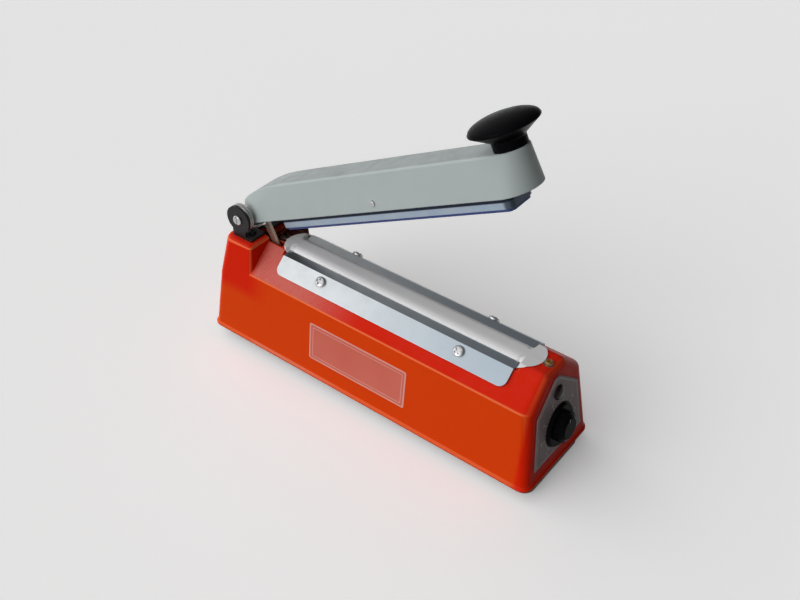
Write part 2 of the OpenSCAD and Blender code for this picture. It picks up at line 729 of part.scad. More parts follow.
// Clamp plate: a leaf on the slope, folded over to a flat lip beside the bar
module clamp_plate() {
    lo = cover_t + 2 * seat;
    hi = lo + plate_t;
    difference() {
        intersection() {
            along_x(plate_x0, plate_x1) polygon([
                on_face(plate_low, lo), on_face(up_to(deck_h + lo, lo), lo), [-plate_in, deck_h + lo],
                [-plate_in, deck_h + hi], on_face(up_to(deck_h + hi, hi), hi), on_face(plate_low, hi)]);
            on_slope() translate([deck_x, plate_low, -20]) linear_extrude(60) union() {
                translate([-plate_l / 2, plate_r]) square([plate_l, 60]);
                translate([-plate_l / 2 + plate_r, 0]) square([plate_l - 2 * plate_r, 60]);
                for (i = [-1, 1]) translate([i * (plate_l / 2 - plate_r), plate_r]) circle(plate_r);
            }
        }
        on_slope() clamp_holes(clamp_d / 2 + fit, 7);
    }
}

module front_clamp_plate() color(zinc) on_body() clamp_plate();

module rear_clamp_plate() color(zinc) on_body() mirror([0, 1, 0]) clamp_plate();

module clamp_screws() color(steel) on_body() for (j = [0, 1]) mirror([0, j, 0]) on_slope()
    for (i = [-1, 1]) translate([deck_x + i * clamp_pitch / 2, clamp_up, cover_t + plate_t + 3 * seat])
        rotate([0, 0, 25 * i + 20]) pan_screw(clamp_d, clamp_d * 1.5, clamp_d * 2.1, clamp_d * 0.65);

bush_d = terminal_d * 2.33;

module terminal_bushes() color([0.25, 0.14, 0.08]) on_body() for (x = [strip_x0, strip_x1])
    translate([x, 0, roof_h - 0.8]) difference() {
        cylinder(d = bush_d, h = ridge_h + tape_t - seat - roof_h + 0.8);
        translate([0, 0, -1]) cylinder(d = terminal_d + 2 * fit, h = ridge_h);
    }

module terminal_screws() color(brass) on_body() for (x = [strip_x0, strip_x1])
    translate([x, 0, ridge_h + tape_t + strip_t + seat])
        pan_screw(terminal_d, ridge_h - roof_h + 1.2, terminal_d * 1.9, terminal_d * 0.67);

// Hinge

// Ear: a round top on a foot that meets the bracket's base
module ear_outline() {
    foot = hinge_h - hump_h;
    union() {
        circle(ear_r);
        translate([bracket_x0 - hinge_x, -foot]) square([ear_r * 1.14, foot]);
    }
}

module hinge_bracket() color(black) on_body() difference() {
    union() {
        translate([bracket_x0, -bracket_w / 2, hump_h + seat]) cube([bracket_l, bracket_w, bracket_t]);
        for (j = [-1, 1]) translate([hinge_x, j * (bracket_w / 2 - bracket_t / 2), hinge_h]) rotate([90, 0, 0])
            intersection() {
                linear_extrude(bracket_t, center = true) ear_outline();
                translate([-big / 2, hump_h + seat - hinge_h, -big / 2]) cube(big);
            }
    }
    translate([hinge_x, 0, hinge_h]) across_y(pin_d / 2 + fit, 2 * bracket_w);
    for (j = [-1, 1]) translate([bracket_screw_x, j * bracket_screw_y, hump_h - 1])
        cylinder(d = bracket_screw_d + 2 * fit, h = bracket_t + 3);
    translate([slot_x0, tongue_out - slot_side, hump_h - 1])
        cube([slot_x1 - slot_x0, tongue_t + 2 * slot_side, bracket_t + 3]);
}

module bracket_screws() color(black) on_body() for (j = [-1, 1])
    translate([bracket_screw_x, j * bracket_screw_y, hump_h + bracket_t + 2 * seat])
        pan_screw(bracket_screw_d, bracket_t + 2.2 * wall, bracket_screw_d * 1.8, bracket_screw_d * 0.57);

pin_head = 1.6;
pin_tail = 3.2;
clip_t = 0.8;
clip_y = bracket_w / 2 + gap;

// Headed pin: the head is at the front and a groove at the rear takes the clip
module hinge_pin() color(steel) on_body() translate([hinge_x, 0, hinge_h]) rotate([-90, 0, 0]) difference() {
    rotate_extrude() polygon([[0, -bracket_w / 2 - pin_head], [pin_d * 0.7, -bracket_w / 2 - pin_head],
        [pin_d * 0.8, -bracket_w / 2 - pin_head + 0.5], [pin_d * 0.8, -bracket_w / 2 - seat],
        [pin_d / 2, -bracket_w / 2 - seat], [pin_d / 2, clip_y - seat], [pin_d / 2 - 0.5, clip_y - seat],
        [pin_d / 2 - 0.5, clip_y + clip_t + seat], [pin_d / 2, clip_y + clip_t + seat],
        [pin_d / 2, bracket_w / 2 + pin_tail], [0, bracket_w / 2 + pin_tail]]);
    translate([-0.6, -pin_d, -bracket_w / 2 - pin_head - 1]) cube([1.2, 2 * pin_d, 1.8]);
}

module pin_clip() color(steel) on_body() translate([hinge_x, clip_y, hinge_h]) rotate([-90, 0, 0])
    linear_extrude(clip_t) difference() {
        circle(d = pin_d + 5);
        circle(d = pin_d - 1 + 2 * seat);
        translate([-pin_d * 0.35, 0]) square([pin_d * 0.7, pin_d * 2]);
    }

// Torsion springs: turns round the pin, one leg on the bracket's base and one hooked under the arm

spring_y = arm_w / 2 + gap + wire_d / 2;
spring_pitch = wire_d + coil_gap;
// Angles run from +X towards +Z about the hinge, and each leg leaves the turns along a tangent
arm_leg_tilt = 8;
base_leg_tilt = 24;
arm_leg_a = open_angle - 90 + arm_leg_tilt;
base_leg_a = base_leg_tilt - 90;
coil_sweep = 360 * coil_turns + arm_leg_a - base_leg_a;
coil_steps = ceil(coil_sweep / 45);
leg_v = arm_v0 - wire_d / 2 - seat;
leg_u = coil_r * sin(arm_leg_tilt) + (leg_v + coil_r * cos(arm_leg_tilt)) / tan(arm_leg_tilt);
leg_bend = 1.6;
hook_in = arm_w / 2 - arm_t - 1;
base_seat_z = hump_h + seat + bracket_t + seat + wire_d / 2 - hinge_h;
base_leg_l = (coil_r * sin(base_leg_a) - base_seat_z) / sin(base_leg_tilt);
base_leg_end = 2.4;

function from_arm(u, y, v) =
    [u * cos(open_angle) - v * sin(open_angle), y, u * sin(open_angle) + v * cos(open_angle)];
function coil_y(i) = -spring_y - spring_pitch * coil_sweep / 360 * i / coil_steps;
function coil_pt(i) = let (a = arm_leg_a - coil_sweep * i / coil_steps) [coil_r * cos(a), coil_y(i), coil_r * sin(a)];
function back_on_leg(d, y) = from_arm(leg_u - d * cos(arm_leg_tilt), y, leg_v - d * sin(arm_leg_tilt));
base_leg_to = coil_pt(coil_steps) - base_leg_l * [cos(base_leg_tilt), 0, sin(base_leg_tilt)];

spring_path = concat(
    [from_arm(leg_u, -hook_in, leg_v), from_arm(leg_u, -spring_y + leg_bend, leg_v),
        back_on_leg(leg_bend * 0.3, -spring_y + leg_bend * 0.3), back_on_leg(leg_bend, -spring_y)],
    [for (i = [0:coil_steps]) coil_pt(i)],
    [base_leg_to, base_leg_to - [base_leg_end, 0, 0]]);

function unit(v) = v / norm(v);
function tangents(p) = [for (i = [0:len(p) - 1]) unit(p[min(i + 1, len(p) - 1)] - p[max(i - 1, 0)])];
// Cross direction at each point, carried along the path so that the tube doesn't twist
function carried(t, n, i) = i == len(t) ? [] :
    let (m = unit(n - (n * t[i]) * t[i])) concat([m], carried(t, m, i + 1));

wire_sides = 6;
module wire(p, r) {
    t = tangents(p);
    n = carried(t, [0.3, 0.2, 1], 0);
    s = wire_sides;
    last = (len(p) - 1) * s;
    points = [for (i = [0:len(p) - 1], j = [0:s - 1])
        p[i] + r * cos(360 * j / s) * n[i] + r * sin(360 * j / s) * cross(t[i], n[i])];
    sides = [for (i = [0:len(p) - 2], j = [0:s - 1], k = [0, 1])
        let (a = i * s + j, b = i * s + (j + 1) % s)
        k == 0 ? [a, a + s, b + s] : [a, b + s, b]];
    ends = [for (j = [1:s - 2], k = [0, 1]) k == 0 ? [0, j, j + 1] : [last, last + j + 1, last + j]];
    polyhedron(points, concat(sides, ends), convexity = 8);
}

// Least gap of a spring to itself, on points along its wire at least most of a turn apart
fine = [for (i = [0:len(spring_path) - 2], k = [0:3]) spring_path[i] + (spring_path[i + 1] - spring_path[i]) * k / 4];
spring_gap = min([for (i = [0:len(fine) - 1], j = [i + 20:len(fine) - 1]) norm(fine[i] - fine[j])]) - wire_d;
echo("least gap of a spring to itself", spring_gap);

module torsion_springs() color(steel) on_body() translate([hinge_x, 0, hinge_h]) {
    wire(spring_path, wire_d / 2);
    mirror([0, 1, 0]) wire(spring_path, wire_d / 2);
}

// Sleeve on the pin, between the arm's cheeks
sleeve_half = arm_half(sleeve_d / 2) - arm_t - seat;
module hinge_sleeve() color(steel) on_arm() difference() {
    across_y(sleeve_d / 2, 2 * sleeve_half);
    across_y(pin_d / 2 + fit, 2 * sleeve_half + 2);
}

// Lever arm

// A level slice of the tapered channel, drawn in by d: rounded corners at the hinge and a round end
module arm_slice(d, v) {
    half = arm_half(v) - d;
    turn = nose_corner - d;
    translate([0, 0, v]) linear_extrude(0.01) {
        translate([end_u(v), 0]) circle(half);
        for (j = [-1, 1]) translate([nose_corner - nose_back, j * (half - turn)]) circle(turn, $fn = soft_fn);
    }
}

// A level slice near the arm's top, drawn in by d: narrowing to the nose, with the same round end
module arm_top(d, v) {
    half = arm_half(v) - d;
    translate([0, 0, v]) linear_extrude(0.01) {
        translate([end_u(v), 0]) circle(half);
        translate([nose_taper - nose_back, 0]) scale([(nose_taper - d) / half, 1]) circle(half);
    }
}

module arm_form(d, v0, v1, edge) {
    hull() {
        arm_slice(d, v0);
        arm_top(d, v1 - edge);
        arm_top(d + edge, v1 - 0.01);
    }
}

// Side view of the arm: a long round nose at the hinge, straight to the handle
module arm_side(d) {
    translate([nose_u, nose_v]) scale([(nose_l - d) / (nose_r - d), 1]) circle(nose_r - d);
    translate([nose_u, arm_v0 - 1]) square([big, arm_h + 1 - d]);
}

module drawn_across() {
    rotate([90, 0, 0]) linear_extrude(4 * arm_w, center = true) children();
}

module lever_arm() color(arm_grey) on_arm() difference() {
    intersection() {
        arm_form(0, arm_v0, arm_v1, 1);
        drawn_across() arm_side(0);
    }
    // The hollow, less a flat pad for the tongue's foot
    difference() {
        intersection() {
            arm_form(arm_t, arm_v0 - 1, arm_v1 - arm_t, 0.5);
            drawn_across() arm_side(arm_t);
        }
        translate([tongue_u - tongue_w / 2 - 1, tongue_out - 0.5, tongue_top + seat])
            cube([tongue_w + 2, tongue_foot + 1, arm_h]);
    }
    translate([-arm_w, -sleeve_half - seat, arm_v0 - 2])
        cube([arm_w + tongue_u + tongue_w, 2 * (sleeve_half + seat), arm_drop + 2 + sleeve_d / 2 + 1]);
    across_y(pin_d / 2 + fit, 2 * arm_w);
    translate([pivot_u, 0, -pivot_drop]) across_y(pivot_d / 2 + fit, 2 * arm_w);
    translate([handle_u, 0, arm_v1 - arm_t - 2]) cylinder(d = handle_screw_d + 2 * fit, h = arm_t + 4);
    for (y = tongue_screw_y) translate([tongue_u, y, tongue_top - 1]) cylinder(d = tongue_screw_d + 2 * fit, h = 2.8);
}

// Plan of the press bar, drawn in by d: square at the hinge, rounded at the handle
module press_plan(d) {
    far = press_u + press_l - press_r;
    translate([press_u + d, d - press_w / 2]) square([press_l - press_r - d, press_w - 2 * d]);
    translate([far - 1, press_r - press_w / 2]) square([press_r + 1 - d, press_w - 2 * press_r]);
    for (j = [-1, 1]) translate([far, j * (press_w / 2 - press_r)]) circle(press_r - d);
}

module press_bar() color(zinc) on_arm() difference() {
    translate([0, 0, press_v]) linear_extrude(press_h) press_plan(0);
    translate([0, 0, press_v + press_t]) linear_extrude(press_h) press_plan(press_t);
    translate([pivot_u, 0, -pivot_drop]) across_y(pivot_d / 2 + fit, 2 * arm_w);
}

module silicone_pad() color([0.30, 0.34, 0.42]) on_arm()
    translate([0, 0, pad_v]) linear_extrude(pad_t - seat) press_plan(pad_inset);

// Plain pin, chamfered where it shows at the arm's two sides
module pivot_pin() color(steel) on_arm() translate([pivot_u, 0, -pivot_drop]) rotate([90, 0, 0]) {
    l = arm_half(-pivot_drop - pivot_d / 2) + 0.9;
    rotate_extrude() polygon([[0, -l], [pivot_d / 2 - 0.4, -l], [pivot_d / 2, 0.4 - l], [pivot_d / 2, l - 0.4],
        [pivot_d / 2 - 0.4, l], [0, l]]);
}

// Mushroom handle: a plain stem, a cone, a thin rim and a domed top, with a blind hole for its screw
handle_hole = rim_h + dome_h - 5;
rim_r = 1.1;
module handle() color(black) on_arm() translate([handle_u, 0, arm_v1 + seat]) difference() {
    rotate_extrude($fn = 96) polygon(concat([[0, 0], [stem_d / 2, 0], [stem_d / 2, stem_h], [stem_d / 2 + 0.6, stem_h + 1.1]],
        arc([handle_d / 2 - rim_r, rim_h], rim_r, rim_r, -55, 20, 6),
        [for (i = [1:12]) let (a = 90 * i / 12) [(handle_d / 2 - 0.4) * cos(a), rim_h + 0.5 + (dome_h - 0.5) * sin(a)]]));
    translate([0, 0, -1]) cylinder(d = handle_screw_d + 2 * fit, h = handle_hole + 1);
}

module handle_screw() color(steel) on_arm() translate([handle_u, 0, arm_v1 - arm_t - seat])
    mirror([0, 0, 1]) pan_screw(handle_screw_d, arm_t + handle_hole - 2, handle_screw_d * 1.9, handle_screw_d * 0.6);

// Switch tongue: a strip that hangs from a foot under the arm's top and dips into the body
pad_drop = 3.5;
pad_edge = (nose_u - tongue_u + tongue_w / 2 + 1) / (nose_l - arm_t);
tongue_top = nose_v + (nose_r - arm_t) * sqrt(1 - pow(pad_edge, 2)) - pad_drop - seat;
tongue_foot = 15;
tongue_screw_d = 2.5;
tongue_screw_y = [tongue_in + 4, tongue_out + tongue_foot - 3];

module switch_tongue() color(tan_strip) on_arm() difference() {
    union() {
        translate([tongue_u - tongue_w / 2, tongue_out, -tongue_drop]) cube([tongue_w, tongue_t, tongue_drop + tongue_top]);
        translate([tongue_u - tongue_w / 2, tongue_out, tongue_top - tongue_t]) cube([tongue_w, tongue_foot, tongue_t]);
    }
    for (y = tongue_screw_y) translate([tongue_u, y, tongue_top - tongue_t - 1])
        cylinder(d = tongue_screw_d + 2 * fit, h = tongue_t + 2);
}

module tongue_screws() color(steel) on_arm() for (y = tongue_screw_y)
    translate([tongue_u, y, tongue_top - tongue_t - seat]) mirror([0, 0, 1])
        pan_screw(tongue_screw_d, tongue_t + 1.2, tongue_screw_d * 1.8, tongue_screw_d * 0.64);

// Micro switch on its bracket, with the plunger under the tongue's path

switch_hole_d = 2.4;
switch_hole_x = [-switch_l / 4, switch_l / 4];
switch_hole_h = switch_top_h - switch_h + 2.6;
bracket_y = tongue_y + switch_w / 2 + seat;
plunger_travel = 1.2;
plunger_in = 3;

module switch_holes(r) {
    for (x = switch_hole_x) translate([switch_x + x, tongue_y, switch_hole_h]) across_y(r, 4 * switch_w);
}

module micro_switch() color(black) on_body() difference() {
    union() {
        translate([switch_x - switch_l / 2, tongue_y - switch_w / 2, switch_top_h - switch_h])
            cube([switch_l, switch_w, switch_h]);
        for (x = [-0.38, 0.05, 0.38]) translate([switch_x + x * switch_l - 0.25, tongue_y - 1.6, switch_top_h - switch_h - 5])
            cube([0.5, 3.2, 6]);
    }
    translate([switch_x, tongue_y, switch_top_h - plunger_in - plunger_travel - gap])
        cylinder(d = plunger_d + 2 * fit, h = plunger_in + plunger_travel + 2);
    switch_holes(switch_hole_d / 2 + fit);
}

module switch_plunger() color([0.75, 0.20, 0.12]) on_body() translate([switch_x, tongue_y, switch_top_h - plunger_in])
    rotate_extrude() polygon(concat([[0, 0], [plunger_d / 2, 0]],
        arc([plunger_d / 2 - 0.6, plunger_in + plunger_up - 0.6], 0.6, 0.6, 0, 90, 5), [[0, plunger_in + plunger_up]]));

module switch_bracket() color(steel) on_body() difference() {
    union() {
        translate([switch_x - switch_l / 2, bracket_y, base_t + seat])
            cube([switch_l, switch_bracket_t, switch_top_h - 1 - base_t]);
        translate([switch_x - switch_l / 2, bracket_y, base_t + seat]) cube([switch_l, switch_l * 0.7, switch_bracket_t]);
    }
    switch_holes(switch_hole_d / 2 + fit);
}

module switch_screws() color(steel) on_body() for (x = switch_hole_x)
    translate([switch_x + x, tongue_y - switch_w / 2 - seat, switch_hole_h]) rotate([90, 0, 0])
        pan_screw(switch_hole_d, switch_w + switch_bracket_t + 1, switch_hole_d * 1.7, switch_hole_d * 0.62);

// Control end

panel_low = lip_h + panel_foot;
panel_w_top = panel_w / 2 - (panel_shoulder_h - panel_low) * tan(draft);
holder_d = lamp_d + 2.4;

// House-shaped plate on the drafted end, with holes for the timer's neck and the lens
module control_panel() color([0.22, 0.23, 0.24]) on_body() difference() {
    on_end(panel_low) translate([0, 0, seat]) linear_extrude(panel_t - seat) polygon([
        [-panel_w / 2, 0], [panel_w / 2, 0], [panel_w_top, (panel_shoulder_h - panel_low) / cos(draft)],
        [2.5, (panel_peak_h - panel_low) / cos(draft)], [-2.5, (panel_peak_h - panel_low) / cos(draft)],
        [-panel_w_top, (panel_shoulder_h - panel_low) / cos(draft)]]);
    on_end(knob_h) translate([0, 0, -1]) cylinder(d = neck_d + 2 * fit, h = panel_t + 3);
    on_end(lamp_h) translate([0, 0, -1]) cylinder(d = lamp_d + 2 * fit, h = panel_t + 3);
}

nut_d = neck_d + 5;
nut_t = 2;
knob_z = panel_t + gap;
knob_dome = 1.6;
shaft_top = panel_t + knob_l - 4;

// Outline of the grip: a wave round a circle
flute_steps = 6;
function flute_r(a) = grip_d / 2 - flute_d * (0.5 - 0.5 * cos(flutes * a));
grip_outline = [for (i = [0:flutes * flute_steps - 1]) let (a = 360 * i / (flutes * flute_steps))
    [flute_r(a) * sin(a), flute_r(a) * cos(a)]];

// Fluted knob on a skirt, hollow over the nut, with a pointer groove on its face
module timer_knob() color(black) on_body() on_end(knob_h) difference() {
    top = panel_t + knob_l;
    union() {
        translate([0, 0, knob_z]) cylinder(d1 = skirt_d, d2 = skirt_d - 3, h = skirt_t);
        translate([0, 0, knob_z]) linear_extrude(knob_l - gap - knob_dome - 0.6) polygon(grip_outline);
        translate([0, 0, knob_z]) cylinder(r = grip_d / 2 - knob_edge, h = knob_l - gap - knob_dome);
        translate([0, 0, top - knob_dome]) cylinder(r1 = grip_d / 2 - knob_edge, r2 = grip_d / 2 - knob_edge - 2.4, h = knob_dome);
    }
    translate([0, 0, knob_z - 1]) cylinder(d = nut_d + 1.5, h = nut_t + 2);
    translate([0, 0, knob_z - 1]) cylinder(d = shaft_d + 2 * fit, h = shaft_top - knob_z + 1 + seat);
    translate([-0.6, grip_d / 2 - 7, top - 0.5]) cube([1.2, 8, 2]);
}

module timer_shaft() color(steel) on_body() on_end(knob_h) translate([0, 0, -wall - timer_l + 2])
    cylinder(d = shaft_d, h = shaft_top + wall + timer_l - 2);

module timer_body() color([0.35, 0.30, 0.22]) on_body() on_end(knob_h) difference() {
    union() {
        translate([0, 0, -wall - timer_l - 2 * seat]) cylinder(d = timer_d, h = timer_l);
        translate([0, 0, -wall - 1]) cylinder(d = neck_d, h = wall + 1 + panel_t + nut_t + 0.4);
        translate([-timer_d / 4, -timer_d / 2 - 4, -wall - timer_l]) cube([timer_d / 2, timer_d / 2, 2]);
    }
    translate([0, 0, -wall - timer_l + 2 - seat]) cylinder(d = shaft_d + 2 * fit, h = timer_l + wall + 20);
}

module timer_nut() color(steel) on_body() on_end(knob_h) translate([0, 0, panel_t + seat]) difference() {
    cylinder(d = nut_d, h = nut_t - seat, $fn = 6);
    translate([0, 0, -1]) cylinder(d = neck_d + 2 * fit, h = nut_t + 2);
}

lens_stem = lamp_d - 3;
module indicator_lens() color([0.20, 0.06, 0.05]) on_body() on_end(lamp_h) rotate_extrude() polygon(concat(
    [[0, -7], [lens_stem / 2, -7], [lens_stem / 2, seat], [lamp_d / 2, seat], [lamp_d / 2, panel_t + seat],
        [lens_d / 2, panel_t + seat], [lens_d / 2, panel_t + 0.7]],
    arc([0, panel_t + 0.7], lens_d / 2, 2.2, 10, 90, 10)));

module lamp_holder() color(white) on_body() on_end(lamp_h) translate([0, 0, -16]) difference() {
    cylinder(d = holder_d, h = 16 - seat);
    translate([0, 0, 8]) cylinder(d = lens_stem + 2 * fit, h = 20);
}

// Transformer on the base plate

frame_t = 1.5;
frame_foot = 12;
core_screw_d = 4;
core_screw_x = core_l / 2 + frame_t + frame_foot / 2;
core_z = base_t + seat;
leg_w = core_l / 6;
yoke = core_h * 0.2;

module in_core() {
    on_body() translate([core_x, 0, core_z]) children();
}

// Stacked core: a middle leg, two outer legs and the yokes
module transformer_core() color([0.30, 0.31, 0.33]) in_core() difference() {
    translate([-core_l / 2, -core_d / 2, 0]) cube([core_l, core_d, core_h]);
    for (i = [-1, 1]) translate([i * leg_w * 1.5 - leg_w / 2, -core_d, yoke])
        cube([leg_w, 2 * core_d, core_h - 2 * yoke]);
}

module transformer_coil() color([0.72, 0.48, 0.22]) in_core() difference() {
    x = 2 * leg_w - seat;
    y = core_d / 2 + coil_out;
    translate([-x, -y, yoke + seat]) cube([2 * x, 2 * y, core_h - 2 * yoke - 2 * seat]);
    translate([-leg_w - seat, -core_d / 2 - seat, 0]) cube([2 * leg_w + 2 * seat, core_d + 2 * seat, core_h]);
}

module transformer_frame() color(steel) in_core() difference() {
    union() {
        x = core_l / 2 + seat;
        translate([-x - frame_t, -core_d / 2, core_h + seat]) cube([2 * (x + frame_t), core_d, frame_t]);
        for (i = [0, 1]) mirror([i, 0, 0]) {
            translate([x, -core_d / 2, 0]) cube([frame_t, core_d, core_h + seat + frame_t]);
            translate([x, -core_d / 2, 0]) cube([frame_t + frame_foot, core_d, frame_t]);
        }
    }
    for (i = [-1, 1]) translate([i * core_screw_x, 0, -1]) cylinder(d = core_screw_d + 2 * fit, h = frame_t + 2);
}

module transformer_screws() color(steel) in_core() for (i = [-1, 1])
    translate([i * core_screw_x, 0, frame_t + seat]) pan_screw(core_screw_d, frame_t + base_t, core_screw_d * 1.9, core_screw_d * 0.6);

// Timer board on its standoffs

board_t = 1.6;
board_z = base_t + seat + standoff_h + seat;
board_hole_x = board_l / 2 - 4;
board_hole_y = board_w / 2 - 4;

module board_standoffs() color(white) on_body() translate([board_x, 0, base_t + seat]) four(board_hole_x, board_hole_y) {
    cylinder(d = 6, h = standoff_h);
    cylinder(d = 2.8, h = standoff_h + board_t + 1.2);
}

module timer_board() color([0.10, 0.32, 0.16]) on_body() translate([board_x, 0, board_z]) difference() {
    translate([-board_l / 2, -board_w / 2, 0]) cube([board_l, board_w, board_t]);
    four(board_hole_x, board_hole_y) translate([0, 0, -1]) cylinder(d = 2.8 + 2 * fit, h = board_t + 2);
}

// Relay, smoothing capacitor, triac on its fin, and two resistors
relay = [board_l * 0.32, board_w * 0.35, board_l * 0.25];
can_d = board_l * 0.2;
fin = [board_l * 0.23, board_w * 0.11, board_l * 0.33];
resistor_d = board_l * 0.044;

module board_parts() color([0.20, 0.22, 0.30]) on_body() translate([board_x, 0, board_z + board_t + seat]) {
    translate([-board_l * 0.4, -board_w * 0.2, 0]) cube(relay);
    translate([board_l * 0.2, board_w * 0.2, 0]) cylinder(d = can_d, h = can_d * 1.5);
    translate([board_l * 0.17, -board_w * 0.3, 0]) cube(fin);
    for (i = [0, 1]) translate([-board_l * 0.07, board_w * (0.22 + 0.09 * i), resistor_d * 0.54]) rotate([0, 90, 0])
        cylinder(d = resistor_d, h = resistor_d * 3, $fn = 24);
}

body_housing();
base_plate();
rubber_feet();
base_screws();
cord_grommet();
sealing_bar();
insulating_tape();
heating_strip();
ptfe_cover();
front_clamp_plate();
rear_clamp_plate();
clamp_screws();
terminal_bushes();
terminal_screws();
hinge_bracket();
bracket_screws();
hinge_pin();
pin_clip();
torsion_springs();
hinge_sleeve();
lever_arm();
press_bar();
silicone_pad();
pivot_pin();
handle();
handle_screw();
switch_tongue();
tongue_screws();
micro_switch();
switch_plunger();
switch_bracket();
switch_screws();
control_panel();
timer_knob();
timer_shaft();
timer_body();
timer_nut();
indicator_lens();
lamp_holder();
transformer_core();
transformer_coil();
transformer_frame();
transformer_screws();
timer_board();
board_standoffs();
board_parts();
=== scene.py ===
"""Dresses a hand heat sealer: finishes, the cloth over its sealing bar, springs, a label and a studio."""

import json
import math

import bpy
from mathutils import Matrix, Vector


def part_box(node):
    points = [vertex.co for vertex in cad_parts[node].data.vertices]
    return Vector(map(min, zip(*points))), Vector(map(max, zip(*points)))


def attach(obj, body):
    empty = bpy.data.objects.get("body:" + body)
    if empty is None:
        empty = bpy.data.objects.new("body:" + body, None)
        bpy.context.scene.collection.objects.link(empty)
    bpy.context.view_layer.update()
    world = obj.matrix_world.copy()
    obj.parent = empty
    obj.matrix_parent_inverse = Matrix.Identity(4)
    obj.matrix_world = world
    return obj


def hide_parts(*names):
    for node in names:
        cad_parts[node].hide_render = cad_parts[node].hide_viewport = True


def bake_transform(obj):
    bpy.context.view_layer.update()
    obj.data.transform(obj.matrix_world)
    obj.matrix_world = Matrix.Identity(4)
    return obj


bl_info = {
    "name": "Heat Sealer",
    "version": (1, 0, 0),
    "blender": (4, 5, 0),
    "location": "View3D > Sidebar > Heat Sealer",
    "description": "Finishes, cloth cover, springs, label and studio for a hand heat sealer",
    "category": "Object",
}

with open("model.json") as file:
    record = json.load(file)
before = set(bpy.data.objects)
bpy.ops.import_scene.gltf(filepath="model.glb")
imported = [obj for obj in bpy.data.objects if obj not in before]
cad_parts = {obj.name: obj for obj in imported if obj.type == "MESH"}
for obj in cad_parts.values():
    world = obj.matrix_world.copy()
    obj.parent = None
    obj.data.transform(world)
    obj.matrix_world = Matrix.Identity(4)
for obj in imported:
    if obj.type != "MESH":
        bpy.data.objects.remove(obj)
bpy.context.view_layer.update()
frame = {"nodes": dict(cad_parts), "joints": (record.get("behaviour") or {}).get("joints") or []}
NODES = frame["nodes"]
MM = 0.001

# The housing stands with the middle of its lip over this point
HOUSING_LOW, HOUSING_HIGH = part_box("body_housing")
MIDDLE_X = (HOUSING_LOW.x + HOUSING_HIGH.x) / 2
LIP_Z = HOUSING_LOW.z


def place(x, y, h):
    """A point given in millimetres along, across and above the housing's lip."""
    return Vector((MIDDLE_X + x * MM, y * MM, LIP_Z + h * MM))


# Shape of the housing, in millimetres and degrees
DRAFT = math.radians(6.5)
LIP_H = 6.5
LIP_FLARE = 2.0
WALL_HALF_W = (HOUSING_HIGH.y - HOUSING_LOW.y) / 2 / MM - LIP_FLARE
FOLD_H = 62.0
RIDGE_H = 82.0
RIDGE_HALF_W = 11.8
DECK_H = 78.2


def wall_y(h):
    """Half width between the drafted side walls at a height."""
    return WALL_HALF_W - (h - LIP_H) * math.tan(DRAFT)


FOLD_HALF_W = wall_y(FOLD_H)
SLOPE = math.atan2(RIDGE_H - FOLD_H, FOLD_HALF_W - RIDGE_HALF_W)

# Angle of the arm when it is open
OPEN = math.radians(26.5)


# Settings that a user may change


def colour_setting(name, description, default):
    """A colour setting."""
    return bpy.props.FloatVectorProperty(
        name=name, description=description, subtype="COLOR", size=3, min=0, max=1, default=default)


def length_setting(name, description, millimetres):
    """A length setting."""
    return bpy.props.FloatProperty(
        name=name, description=description, unit="LENGTH", default=millimetres * MM)


def angle_setting(name, description, degrees):
    """An angle setting."""
    return bpy.props.FloatProperty(
        name=name, description=description, subtype="ANGLE", default=math.radians(degrees))


def plain_setting(name, description, default):
    """A strength or other plain number."""
    return bpy.props.FloatProperty(name=name, description=description, default=default)


class SealerFinishes(bpy.types.PropertyGroup):
    """Colours of the finishes."""

    enamel: colour_setting("Body enamel", "Orange-red enamel on the body", (0.71, 0.054, 0.003))
    # Redder enamel, painted above the fold and high on the hump, and painted shade on the control end
    enamel_deep: colour_setting(
        "Body enamel, deep", "Colour where the enamel has run thicker", (0.68, 0.016, 0.002))
    # Paler enamel along edges: thinner paint, and painted highlights along folds and corners
    enamel_edge: colour_setting(
        "Body enamel, edges", "Colour where the enamel is thin along an edge", (0.88, 0.20, 0.07))
    arm: colour_setting("Arm enamel", "Grey-green enamel on the lever arm", (0.43, 0.485, 0.475))
    zinc: colour_setting("Zinc plate", "Blue-white zinc on the clamp plates", (0.56, 0.585, 0.60))
    press: colour_setting("Press bar zinc", "Blue passivated zinc on the press bar", (0.40, 0.475, 0.55))
    panel: colour_setting("Panel grey", "Satin grey of the control panel", (0.24, 0.18, 0.185))
    cloth: colour_setting("Cover cloth", "Coated glass cloth over the sealing bar", (0.76, 0.755, 0.76))


class SealerCover(bpy.types.PropertyGroup):
    """Cut and lay of the cloth cover."""

    thickness: length_setting("Thickness", "Thickness of the coated cloth", 0.3)
    end_radius: length_setting("End radius", "Radius of the rounded ends", 15)
    near_lap: length_setting("Near lap", "How far the cover laps the cap beside the hump", 4.2)
    far_lap: length_setting("Far lap", "How far the cover laps the cap at the control end", 8.4)
    columns: bpy.props.IntProperty(
        name="Columns", description="Points across half of the cover", min=8, max=60, default=30)


class SealerSprings(bpy.types.PropertyGroup):
    """Wire and turns of the hinge springs."""

    wire: length_setting("Wire", "Diameter of the spring wire", 1.6)
    radius: length_setting("Turn radius", "Mean radius of the turns", 10.6)
    pitch: length_setting("Pitch", "Distance between turns", 1.95)
    turns: bpy.props.IntProperty(
        name="Turns", description="Full turns of each spring", min=1, max=2, default=2)


class SealerLabel(bpy.types.PropertyGroup):
    """Bare film label on the front wall."""

    length: length_setting("Length", "Length of the label", 90.8)
    height: length_setting("Height", "Height of the label", 32.3)
    along: length_setting("Along", "Middle of the label along the body", -2.2)
    up: length_setting("Up", "Middle of the label above the lip", 31.85)


